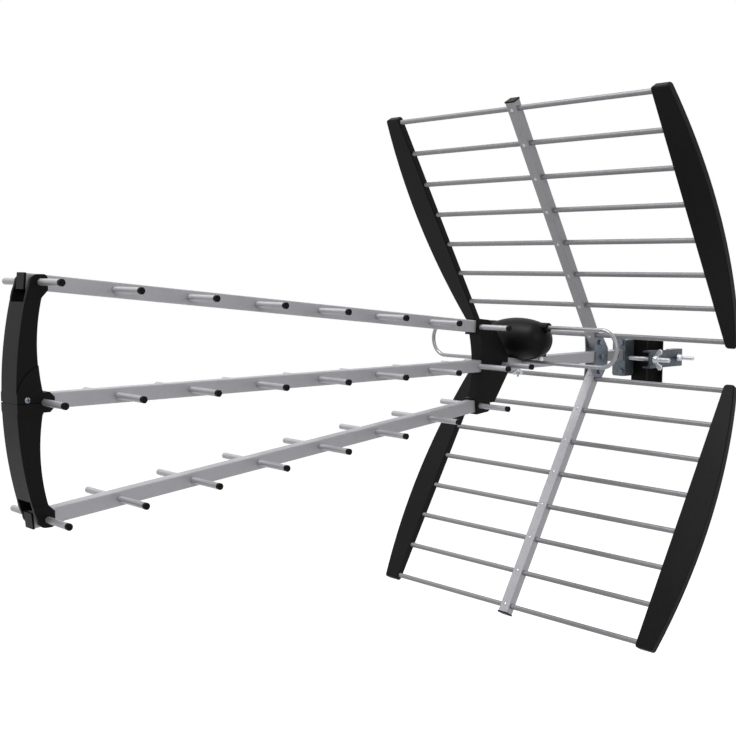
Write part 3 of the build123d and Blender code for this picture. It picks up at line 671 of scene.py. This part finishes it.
def threaded_rod(bm, radius, pitch, start, end, place, steps=28):
    """Adds a closed threaded rod along local Z, with chamfered ends."""
    depth = THREAD_DEPTH * pitch
    root = radius - depth
    turns = math.ceil((end - start) / pitch) + 1
    columns = []
    for step in range(turns * steps + 1):
        angle = 2 * math.pi * step / steps
        column = []
        for offset, crest in THREAD_PROFILE:
            along = start - pitch + pitch * (step / steps + offset)
            clipped = min(max(along, start), end)
            ease = min((clipped - start) / depth, (end - clipped) / depth, 1.0)
            reach = root + crest * depth * (ease if start < along < end else 0.0)
            column.append(add_vertex(bm, place, angle, reach, clipped))
        columns.append(column)
    for first, second in zip(columns, columns[1:]):
        for i in range(len(THREAD_PROFILE) - 1):
            bm.faces.new((first[i], second[i], second[i + 1], first[i + 1]))
    for step in range((turns - 1) * steps):
        first, second = columns[step], columns[step + 1]
        above, above_next = columns[step + steps], columns[step + steps + 1]
        bm.faces.new((first[-1], second[-1], above_next[0], above[0]))
    bmesh.ops.remove_doubles(bm, verts=bm.verts, dist=pitch * THREAD_WELD)
    bmesh.ops.dissolve_degenerate(bm, edges=bm.edges, dist=pitch * THREAD_WELD)
    bmesh.ops.holes_fill(bm, edges=bm.edges, sides=0)


def along_axis(origin, direction):
    """A placement whose local Z runs along a direction."""
    turn = Vector((0.0, 0.0, 1.0)).rotation_difference(Vector(direction)).to_matrix().to_4x4()
    return Matrix.Translation(Vector(origin)) @ turn


def rounded_head(radius, height, rise, steps=8):
    """Profile of a head whose flat side is at 0 and whose dome, a share of its height, is at -Z."""
    points = [(0.0, 0.0), (0.0, radius * 0.97), (-0.06 * height, radius)]
    points.append((-height * (1 - rise), radius))
    for i in range(1, steps + 1):
        angle = math.pi / 2 * i / steps
        points.append((
            -height * (1 - rise) - height * rise * math.sin(angle),
            radius * math.cos(angle) if i < steps else 0.0,
        ))
    return points


def polar_form(bm, levels, reach, place, steps=72):
    """Adds a closed form from rings: reach(angle, level) gives a vertex's radius and height."""
    angles = [2 * math.pi * i / steps for i in range(steps)]
    rings = [
        [add_vertex(bm, place, angle, *reach(angle, level)) for angle in angles] for level in levels
    ]
    for lower, upper in zip(rings, rings[1:]):
        bridge(bm, lower, upper)
    for ring in (rings[0], rings[-1]):
        bm.faces.new(ring)


def hexagon_form(bm, across_flats, height, place, both_ends=False):
    """Adds a hexagon with its corners turned off, standing on local z = 0."""
    flat = across_flats / 2
    slope = math.tan(math.radians(30))
    start = flat * HEXAGON_CHAMFER_START

    def reach(angle, along):
        beside = (angle + math.pi / 6) % (math.pi / 3) - math.pi / 6
        radius = min(flat / math.cos(beside), start + (height - along) / slope)
        if both_ends:
            radius = min(radius, start + along / slope)
        return radius, along

    polar_form(bm, [mark * height for mark in HEXAGON_MARKS], reach, place)


def cross_head(bm, radius, height, place, rings=20, steps=96):
    """Adds a pan head with a cross recess, its flat side at 0 and its top towards local Z."""
    blade, arm, depth = radius * 0.16, radius * 0.56, height * 0.62

    def top(x, y):
        far = math.hypot(x, y) / radius
        rise = height * (1 - 0.55 * far ** 4)
        beside = min(abs(x), abs(y))
        along = max(abs(x), abs(y))
        cut = min(max((blade - beside) / (0.35 * blade), 0.0), 1.0)
        cut *= min(max((arm - along) / (0.3 * arm), 0.0), 1.0)
        return rise - depth * cut

    levels = [("side", 0.0), ("side", 0.25), ("side", 0.6)]
    levels += [("top", 1 - i / rings) for i in range(rings)]

    def reach(angle, level):
        kind, part = level
        if kind == "side":
            return radius, height * 0.45 * part
        near = max(part, 0.02)
        return radius * near, top(radius * near * math.cos(angle), radius * near * math.sin(angle))

    polar_form(bm, levels, reach, place, steps)


def merge(bm, other):
    """Moves the other form into the first."""
    carrier = bpy.data.meshes.new("carrier")
    other.to_mesh(carrier)
    other.free()
    bm.from_mesh(carrier)
    bpy.data.meshes.remove(carrier)


def add_thread(bm, radius, pitch, start, end, place):
    """Adds a threaded rod to a form that has other parts."""
    rod = bmesh.new()
    threaded_rod(rod, radius, pitch, start, end, place)
    merge(bm, rod)


def hexagon_bolt(bm, seat, head_way, length, pitch):
    """Adds a bolt whose head stands on its seat and whose thread runs the other way."""
    thread_way = [-part for part in head_way]
    add_thread(bm, HEXAGON_BOLT_RADIUS, pitch, 0.0, length, along_axis(seat, thread_way))
    hexagon_form(bm, HEXAGON_ACROSS_FLATS, HEXAGON_HEAD_HEIGHT, along_axis(seat, head_way))


def solids(node):
    """The corners of each separate solid of a CAD node, as (low, high, vertices)."""
    bm = bmesh.new()
    bm.from_mesh(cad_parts[node].data)
    bmesh.ops.remove_doubles(bm, verts=bm.verts, dist=WELD)
    left, groups = set(bm.verts), []
    while left:
        reached, group = [left.pop()], []
        while reached:
            vertex = reached.pop()
            group.append(vertex.co.copy())
            for edge in vertex.link_edges:
                other = edge.other_vert(vertex)
                if other in left:
                    left.remove(other)
                    reached.append(other)
        low = Vector(min(point[i] for point in group) for i in range(3))
        high = Vector(max(point[i] for point in group) for i in range(3))
        groups.append((low, high, group))
    bm.free()
    return sorted(groups, key=lambda entry: tuple(round(part, 6) for part in entry[0]))


def cast(name, bm, detail, material, body):
    """Melts overlapping forms into one cast piece with soft edges."""
    mesh = closed_mesh(f"{name}_rough", bm)
    rough = link_object(f"{name}_rough", mesh)
    melt = rough.modifiers.new("melt", "REMESH")
    melt.mode = "VOXEL"
    melt.voxel_size = detail
    soften = rough.modifiers.new("soften", "SMOOTH")
    soften.factor = 0.5
    soften.iterations = 4
    bpy.context.view_layer.update()
    melted = rough.evaluated_get(bpy.context.evaluated_depsgraph_get())
    final = bpy.data.meshes.new_from_object(melted)
    bpy.data.objects.remove(rough)
    bpy.data.meshes.remove(mesh)
    final.name = name
    return finished_piece(name, final, material, body)


def wing_nut_form(bm, bore, span, height, thickness, place, steps=64):
    """Adds a wing nut standing on local z = 0 with its wings along local X."""
    barrel = bore * 1.72
    shell = (
        (0.0, bore), (0.0, barrel), (0.10 * height, barrel), (0.16 * height, barrel * 0.92),
        (0.46 * height, barrel * 0.78), (0.50 * height, barrel * 0.70), (0.50 * height, bore),
    )
    rings = [add_ring(bm, place, radius, along, steps) for along, radius in shell]
    for lower, upper in zip(rings, rings[1:] + rings[:1]):
        bridge(bm, lower, upper)

    ear = height * 0.29
    ear_x, ear_z = span / 2 - ear * 1.02, height - ear * 1.02
    outline = [(bore * 1.18, 0.06 * height), (barrel * 0.98, 0.05 * height)]
    outline.append((barrel * 1.25, 0.12 * height))
    outline += [
        (ear_x + ear * math.cos(angle), ear_z + ear * math.sin(angle))
        for angle in [math.radians(-35 + 17.5 * i) for i in range(13)]
    ]
    outline += [(barrel * 0.95, 0.52 * height), (bore * 1.18, 0.46 * height)]

    def wing_face(side, offset):
        """Adds the corners of a wing's broad face; the wing thins towards its top."""
        corners = []
        for x, z in outline:
            y = offset * thickness / 2 * (1.15 - 0.3 * z / height)
            corners.append(bm.verts.new(place @ Vector((side * x, y, z))))
        return corners

    for side in (-1, 1):
        first, second = wing_face(side, -1), wing_face(side, 1)
        bm.faces.new(first)
        bm.faces.new(list(reversed(second)))
        count = len(outline)
        for i in range(count):
            j = (i + 1) % count
            bm.faces.new((first[i], second[i], second[j], first[j]))


def soften_edges(thing, width, angle=42.0):
    """Rounds the sharp edges of a CAD piece a little."""
    bevel = thing.modifiers.new("soft_edges", "BEVEL")
    bevel.width = width
    bevel.segments = 2
    bevel.limit_method = "ANGLE"
    bevel.angle_limit = math.radians(angle)
    bevel.use_clamp_overlap = True


# Operators

def slope_of(node):
    """The angle about X of a tube that runs along Y and rises."""
    low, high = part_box(node)
    return math.atan2(high.z - low.z, high.y - low.y)


class AntennaOperator:
    """Common parts of the operators."""

    bl_options = {"REGISTER", "UNDO"}


class OBJECT_OT_antenna_tubes(AntennaOperator, bpy.types.Operator):
    """Gives the booms, arms, rods and dipole their drawn aluminium"""

    bl_idname = "object.antenna_tubes"
    bl_label = "Finish the Tubes"

    def execute(self, context):
        settings = context.scene.antenna_metals
        rise = slope_of("top_boom")
        lean = slope_of("upper_arm")
        rods = drawn_aluminium("rod_aluminium", settings, across=True, level=settings.rod_tone)
        directors = drawn_aluminium("director_aluminium", settings, across=True)
        long_tubes = {
            "top_boom": drawn_aluminium("top_boom_aluminium", settings, turn=rise),
            "middle_boom": drawn_aluminium("middle_boom_aluminium", settings),
            "bottom_boom": drawn_aluminium("bottom_boom_aluminium", settings, turn=-rise),
            # The upper arm gets a darker copy of the aluminium: painted shade for its faces turned
            # down, away from the lamp above.
            "upper_arm": drawn_aluminium(
                "upper_arm_shaded_aluminium", settings, turn=lean, level=0.74
            ),
            "lower_arm": drawn_aluminium("lower_arm_aluminium", settings, turn=-lean),
        }
        for name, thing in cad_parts.items():
            if name in long_tubes:
                wear(thing, long_tubes[name])
            elif "_director_" in name:
                wear(thing, directors)
            elif name.endswith("_rods"):
                wear(thing, rods)
        wear(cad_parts["folded_dipole"], drawn_aluminium(
            "dipole_aluminium", settings, across=True, level=0.72, polish=0.14
        ))
        wear(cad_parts["rod_rivets"], bright_metal(
            "rivet_aluminium", tuple(settings.aluminium), low=0.25, high=0.4
        ))
        return {"FINISHED"}


class OBJECT_OT_antenna_mouldings(AntennaOperator, bpy.types.Operator):
    """Gives the rails, brackets, plugs, housing and mast block their black plastic"""

    bl_idname = "object.antenna_mouldings"
    bl_label = "Finish the Mouldings"

    def execute(self, context):
        settings = context.scene.antenna_plastics
        plastic = moulded_plastic("black_plastic", settings)
        names = ["director_caps", "tube_plugs", "housing_base", "housing_cover", "mast_block"]
        names += [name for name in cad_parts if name.endswith("_rail") or "_bracket_" in name]
        for name in names:
            wear(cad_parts[name], plastic)
            if name != "director_caps":
                soften_edges(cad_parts[name], MOULDING_EDGE)
        wear(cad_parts["balun_board"], lacquered_board("board_lacquer", settings))
        return {"FINISHED"}


class OBJECT_OT_antenna_plates(AntennaOperator, bpy.types.Operator):
    """Gives the steel plates, jaw and small fasteners their zinc, and the terminals their brass"""

    bl_idname = "object.antenna_plates"
    bl_label = "Finish the Plates"

    def execute(self, context):
        settings = context.scene.antenna_metals
        zinc = zinc_plate("zinc_plated_steel", settings)
        for name in ("clamp_bolts", "jaw_wing_nuts", "dipole_wing_nut", "dipole_bolt"):
            wear(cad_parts[name], zinc)
        # The hexagon bolts and the bracket screw get a lighter copy of the zinc: painted highlight
        # for the bright glints on their heads.
        bolts = zinc_plate("bolt_zinc_painted_highlight", settings, level=1.3)
        for name in ("cross_bolts", "bracket_screw"):
            wear(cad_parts[name], bolts)
        plates = (
            ("end_plate", "end_plate_zinc", 1.15, 0.6),
            ("mast_jaw", "jaw_zinc", 0.70, 0.7),
            ("junction_plates", "junction_zinc", 1.25, 0.75),
        )
        for name, material, level, metallic in plates:
            wear(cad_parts[name], zinc_plate(material, settings, level, metallic))
            soften_edges(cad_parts[name], PLATE_EDGE)
        brass = bright_metal("turned_brass", tuple(settings.brass), low=0.2, high=0.38)
        for name in ("terminal_posts", "terminal_screws"):
            wear(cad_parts[name], brass)
        nickel = bright_metal("nickel_plate", tuple(settings.nickel), low=0.12, high=0.3)
        wear(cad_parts["coaxial_socket"], nickel)
        return {"FINISHED"}


class OBJECT_OT_antenna_rivets(AntennaOperator, bpy.types.Operator):
    """Forms the blind rivets along the arms"""

    bl_idname = "object.antenna_rivets"
    bl_label = "Form the Rivets"

    def execute(self, context):
        lean = slope_of("upper_arm")
        side = Vector((1.0, 0.0, 0.0))
        height = RIVET_HEAD_HEIGHT
        bm = bmesh.new()
        for low, high, points in solids("rod_rivets"):
            up = 1.0 if low.z + high.z > 0.0 else -1.0
            axis = Vector((0.0, -math.sin(abs(lean)), -up * math.cos(abs(lean)))).normalized()
            other = axis.cross(side)
            middle = []
            for way in (side, other):
                reaches = [point.dot(way) for point in points]
                middle.append((min(reaches) + max(reaches)) / 2)
            reach = max(point.dot(axis) for point in points)
            foot = min(point.dot(axis) for point in points)
            radius = (high.x - low.x) / 2
            seat = side * middle[0] + other * middle[1] + axis * (reach - height)
            length = reach - height - foot
            profile = [(-length, 0.0), (-length, radius * RIVET_SHANK), (0.0, radius * RIVET_SHANK)]
            profile += [(height * rise, radius * width) for rise, width in RIVET_HEAD]
            profile.append((height * RIVET_HOLLOW, 0.0))
            turned(bm, profile, along_axis(seat, axis), steps=32)
        aluminium = bpy.data.materials["rivet_aluminium"]
        piece = mesh_object("blind_rivets", bm, aluminium, ANTENNA_BODY)
        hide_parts("rod_rivets")
        return {"FINISHED"}


class OBJECT_OT_antenna_hexagon_bolts(AntennaOperator, bpy.types.Operator):
    """Forms the hexagon bolts and nuts of the junction plates and the end plate"""

    bl_idname = "object.antenna_hexagon_bolts"
    bl_label = "Form the Hexagon Bolts"

    def execute(self, context):
        pitch = context.scene.antenna_fasteners.bolt_pitch
        bm = bmesh.new()
        for low, high, _ in solids("cross_bolts"):
            middle = (low + high) / 2
            size = high - low
            if size.x > SHORTEST_HEXAGON_BOLT:
                seat = Vector((high.x - HEXAGON_HEAD_HEIGHT, middle.y, middle.z))
                hexagon_bolt(bm, seat, (1.0, 0.0, 0.0), seat.x - low.x, pitch)
            elif size.y > SHORTEST_HEXAGON_BOLT:
                seat = Vector((middle.x, low.y + HEXAGON_HEAD_HEIGHT, middle.z))
                hexagon_bolt(bm, seat, (0.0, -1.0, 0.0), high.y - seat.y, pitch)
            else:
                nut = along_axis((low.x, middle.y, middle.z), (1.0, 0.0, 0.0))
                hexagon_form(bm, HEXAGON_ACROSS_FLATS, size.x, nut, both_ends=True)
        zinc = bpy.data.materials["bolt_zinc_painted_highlight"]
        piece = mesh_object("hexagon_bolts", bm, zinc, ANTENNA_BODY, smooth_angle=28.0)
        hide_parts("cross_bolts")
        return {"FINISHED"}


class OBJECT_OT_antenna_bracket_screw(AntennaOperator, bpy.types.Operator):
    """Forms the cross-head screw of the front bracket"""

    bl_idname = "object.antenna_bracket_screw"
    bl_label = "Form the Bracket Screw"

    def execute(self, context):
        low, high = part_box("bracket_screw")
        height, radius = BRACKET_SCREW_HEAD_HEIGHT, (high.y - low.y) / 2
        seat = Vector((high.x - height, (low.y + high.y) / 2, (low.z + high.z) / 2))
        shank = along_axis(seat, (-1.0, 0.0, 0.0))
        bm = bmesh.new()
        add_thread(bm, BRACKET_SCREW_RADIUS, BRACKET_SCREW_PITCH, 0.0, seat.x - low.x, shank)
        cross_head(bm, radius, height, along_axis(seat, (1.0, 0.0, 0.0)))
        zinc = bpy.data.materials["bolt_zinc_painted_highlight"]
        piece = mesh_object(
            "cross_head_screw", bm, zinc, ANTENNA_BODY, smooth_angle=40.0
        )
        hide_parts("bracket_screw")
        return {"FINISHED"}


class OBJECT_OT_antenna_dipole_bolt(AntennaOperator, bpy.types.Operator):
    """Threads the housing's bolt and casts its wing nut"""

    bl_idname = "object.antenna_dipole_bolt"
    bl_label = "Form the Dipole Bolt"

    def execute(self, context):
        settings = context.scene.antenna_fasteners
        zinc = bpy.data.materials["zinc_plated_steel"]
        low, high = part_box("dipole_bolt")
        head_height, radius = DIPOLE_BOLT_HEAD_HEIGHT, DIPOLE_BOLT_RADIUS
        seat = Vector(((low.x + high.x) / 2, (low.y + high.y) / 2, high.z - head_height))
        down = along_axis(seat, (0.0, 0.0, -1.0))
        bm = bmesh.new()
        add_thread(bm, radius, settings.dipole_pitch, 0.0, seat.z - low.z, down)
        turned(bm, rounded_head((high.x - low.x) / 2, head_height, rise=0.5), down)
        piece = mesh_object("threaded_dipole_bolt", bm, zinc, ANTENNA_BODY)
        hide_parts("dipole_bolt")

        low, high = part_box("dipole_wing_nut")
        place = along_axis((seat.x, seat.y, high.z), (0.0, 0.0, -1.0))
        bore = radius * DIPOLE_NUT_BORE
        thickness = settings.wing_thickness * DIPOLE_NUT_WING
        bm = bmesh.new()
        wing_nut_form(bm, bore, high.x - low.x, high.z - low.z, thickness, place)
        detail = settings.cast_detail * DIPOLE_NUT_DETAIL
        nut = cast("cast_dipole_nut", bm, detail, zinc, ANTENNA_BODY)
        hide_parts("dipole_wing_nut")
        return {"FINISHED"}


class OBJECT_OT_antenna_socket(AntennaOperator, bpy.types.Operator):
    """Threads the coaxial socket"""

    bl_idname = "object.antenna_socket"
    bl_label = "Form the Coaxial Socket"

    def execute(self, context):
        pitch = context.scene.antenna_fasteners.socket_pitch
        low, high, _ = solids("coaxial_socket")[0]
        middle = (low + high) / 2
        length = high.z - low.z
        foot = Vector((middle.x, middle.y, low.z))
        place = along_axis(foot, (0.0, 0.0, 1.0))
        bm = bmesh.new()
        add_thread(bm, SOCKET_THREAD_RADIUS, pitch, SOCKET_THREAD_START, SOCKET_THREAD_END, place)
        turned(bm, [
            *SOCKET_MOUTH,
            (SOCKET_SHOULDER, SOCKET_BODY_RADIUS), (SOCKET_BODY_END, SOCKET_BODY_RADIUS),
            (SOCKET_BODY_END, SOCKET_PIN_RADIUS), (length, SOCKET_PIN_RADIUS), (length, 0.0),
        ], place)
        flange = along_axis(foot + Vector((0.0, 0.0, SOCKET_BODY_END)), (0.0, 0.0, 1.0))
        hexagon_form(bm, SOCKET_FLANGE_ACROSS_FLATS, SOCKET_FLANGE_HEIGHT, flange)
        nickel = bpy.data.materials["nickel_plate"]
        piece = mesh_object("threaded_socket", bm, nickel, ANTENNA_BODY)
        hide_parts("coaxial_socket")
        return {"FINISHED"}


class OBJECT_OT_antenna_clamp_bolts(AntennaOperator, bpy.types.Operator):
    """Cuts the threads of the mast clamp's bolts"""

    bl_idname = "object.antenna_clamp_bolts"
    bl_label = "Thread the Clamp Bolts"

    def execute(self, context):
        pitch = context.scene.antenna_fasteners.clamp_pitch
        head_height = CLAMP_BOLT_HEAD_HEIGHT
        bm = bmesh.new()
        for low, high, _ in solids("clamp_bolts"):
            middle = (low + high) / 2
            place = along_axis((low.x + head_height, middle.y, middle.z), (1.0, 0.0, 0.0))
            turned(bm, rounded_head((high.z - low.z) / 2, head_height, rise=0.7), place)
            add_thread(bm, CLAMP_BOLT_RADIUS, pitch, 0.0, high.x - low.x - head_height, place)
        zinc = bpy.data.materials["zinc_plated_steel"]
        piece = mesh_object("threaded_clamp_bolts", bm, zinc, ANTENNA_BODY)
        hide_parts("clamp_bolts")
        return {"FINISHED"}


class OBJECT_OT_antenna_jaw_nuts(AntennaOperator, bpy.types.Operator):
    """Casts the two large wing nuts of the mast clamp"""

    bl_idname = "object.antenna_jaw_nuts"
    bl_label = "Cast the Jaw's Wing Nuts"

    def execute(self, context):
        settings = context.scene.antenna_fasteners
        zinc = bpy.data.materials["zinc_plated_steel"]
        pieces = []
        for number, (low, high, _) in enumerate(solids("jaw_wing_nuts"), start=1):
            middle = (low + high) / 2
            size = high - low
            place = along_axis((low.x, middle.y, middle.z), (1.0, 0.0, 0.0))
            if size.y > size.z:
                place = place @ Matrix.Rotation(math.pi / 2, 4, "Z")
            span = max(size.y, size.z)
            bm = bmesh.new()
            wing_nut_form(bm, JAW_NUT_BORE_RADIUS, span, size.x, settings.wing_thickness, place)
            name = f"cast_jaw_nut_{number}"
            pieces.append(cast(name, bm, settings.cast_detail, zinc, JAW_BODY))
        for piece in pieces:
            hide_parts("jaw_wing_nuts")
        return {"FINISHED"}


class OBJECT_OT_antenna_studio(AntennaOperator, bpy.types.Operator):
    """Sets the floor, the lamps, the world and the camera"""

    bl_idname = "object.antenna_studio"
    bl_label = "Set the Studio"

    def execute(self, context):
        settings = context.scene.antenna_studio
        scene = context.scene
        scene.view_settings.view_transform = "Standard"

        bm = bmesh.new()
        bmesh.ops.create_grid(bm, x_segments=1, y_segments=1, size=FLOOR_REACH)
        mesh = bpy.data.meshes.new("studio_floor")
        bm.to_mesh(mesh)
        bm.free()
        floor = link_object("studio_floor", mesh)
        floor.location = (0.0, 0.0, settings.floor_height)
        finish = Finish("studio_floor")
        paper = finish.surface(Base_Color=FLOOR_PAPER, Roughness=0.9, Specular_IOR_Level=0.0)
        glow = finish.node("ShaderNodeEmission", inputs={"Color": WHITE, "Strength": FLOOR_GLOW})
        bright_paper = finish.node("ShaderNodeAddShader", inputs={0: paper, 1: glow})
        wear(floor, finish.done(finish.node(
            "ShaderNodeMixShader", inputs={0: finish.seen(), 1: paper, 2: bright_paper}
        )))

        world = bpy.data.worlds.new("studio_world")
        scene.world = world
        sky = Graph(world)
        lit = sky.node("ShaderNodeBackground", inputs={"Color": WHITE, "Strength": WORLD_LIGHT})
        shown = sky.node("ShaderNodeBackground", inputs={"Color": WHITE, "Strength": WORLD_SHOWN})
        mixed = sky.node("ShaderNodeMixShader", inputs={0: sky.seen(), 1: lit, 2: shown})
        sky.node("ShaderNodeOutputWorld", inputs={"Surface": mixed})

        for name, place, size, share in LAMPS:
            light = bpy.data.lights.new(name, "AREA")
            light.shape = "DISK"
            light.size = size
            light.energy = settings.key_power * share
            lamp = link_object(name, light)
            lamp.location = place
            view = Vector(LAMP_TARGET) - Vector(place)
            lamp.rotation_euler = view.to_track_quat("-Z", "Y").to_euler()

        camera = link_object("camera", bpy.data.cameras.new("camera"))
        camera.data.sensor_width = SENSOR_WIDTH
        camera.data.lens = settings.lens
        camera.data.shift_y = settings.lens_rise
        camera.data.clip_start = NEAREST_SEEN
        camera.data.clip_end = FARTHEST_SEEN
        camera.location = settings.camera_place
        camera.rotation_euler = (math.pi / 2 - settings.camera_drop, 0.0, settings.camera_azimuth)
        scene.camera = camera
        return {"FINISHED"}


class VIEW3D_PT_antenna(bpy.types.Panel):
    """Lists the antenna's operators and settings"""

    bl_label = "UHF Antenna"
    bl_idname = "VIEW3D_PT_antenna"
    bl_space_type = "VIEW_3D"
    bl_region_type = "UI"
    bl_category = "Antenna"

    def draw(self, context):
        layout = self.layout
        for operator in OPERATORS:
            layout.operator(operator.bl_idname)
        for group in SETTINGS:
            settings = getattr(context.scene, group)
            box = layout.box()
            for name in settings.__annotations__:
                box.prop(settings, name)


OPERATORS = (
    OBJECT_OT_antenna_tubes,
    OBJECT_OT_antenna_mouldings,
    OBJECT_OT_antenna_plates,
    OBJECT_OT_antenna_rivets,
    OBJECT_OT_antenna_hexagon_bolts,
    OBJECT_OT_antenna_bracket_screw,
    OBJECT_OT_antenna_dipole_bolt,
    OBJECT_OT_antenna_socket,
    OBJECT_OT_antenna_clamp_bolts,
    OBJECT_OT_antenna_jaw_nuts,
    OBJECT_OT_antenna_studio,
)
SETTINGS = {
    "antenna_metals": AntennaMetalSettings,
    "antenna_plastics": AntennaPlasticSettings,
    "antenna_fasteners": AntennaFastenerSettings,
    "antenna_studio": AntennaStudioSettings,
}


def register():
    """Registers the settings, operators and panel."""
    for name, group in SETTINGS.items():
        bpy.utils.register_class(group)
        setattr(bpy.types.Scene, name, bpy.props.PointerProperty(type=group))
    for operator in OPERATORS:
        bpy.utils.register_class(operator)
    bpy.utils.register_class(VIEW3D_PT_antenna)


def unregister():
    """Takes them away again."""
    bpy.utils.unregister_class(VIEW3D_PT_antenna)
    for operator in reversed(OPERATORS):
        bpy.utils.unregister_class(operator)
    for name, group in SETTINGS.items():
        delattr(bpy.types.Scene, name)
        bpy.utils.unregister_class(group)


def main():
    """Dresses the antenna."""
    register()
    bpy.ops.object.antenna_tubes()
    bpy.ops.object.antenna_mouldings()
    bpy.ops.object.antenna_plates()
    bpy.ops.object.antenna_rivets()
    bpy.ops.object.antenna_hexagon_bolts()
    bpy.ops.object.antenna_bracket_screw()
    bpy.ops.object.antenna_dipole_bolt()
    bpy.ops.object.antenna_socket()
    bpy.ops.object.antenna_clamp_bolts()
    bpy.ops.object.antenna_jaw_nuts()
    bpy.ops.object.antenna_studio()


if __name__ == "__main__":
    main()
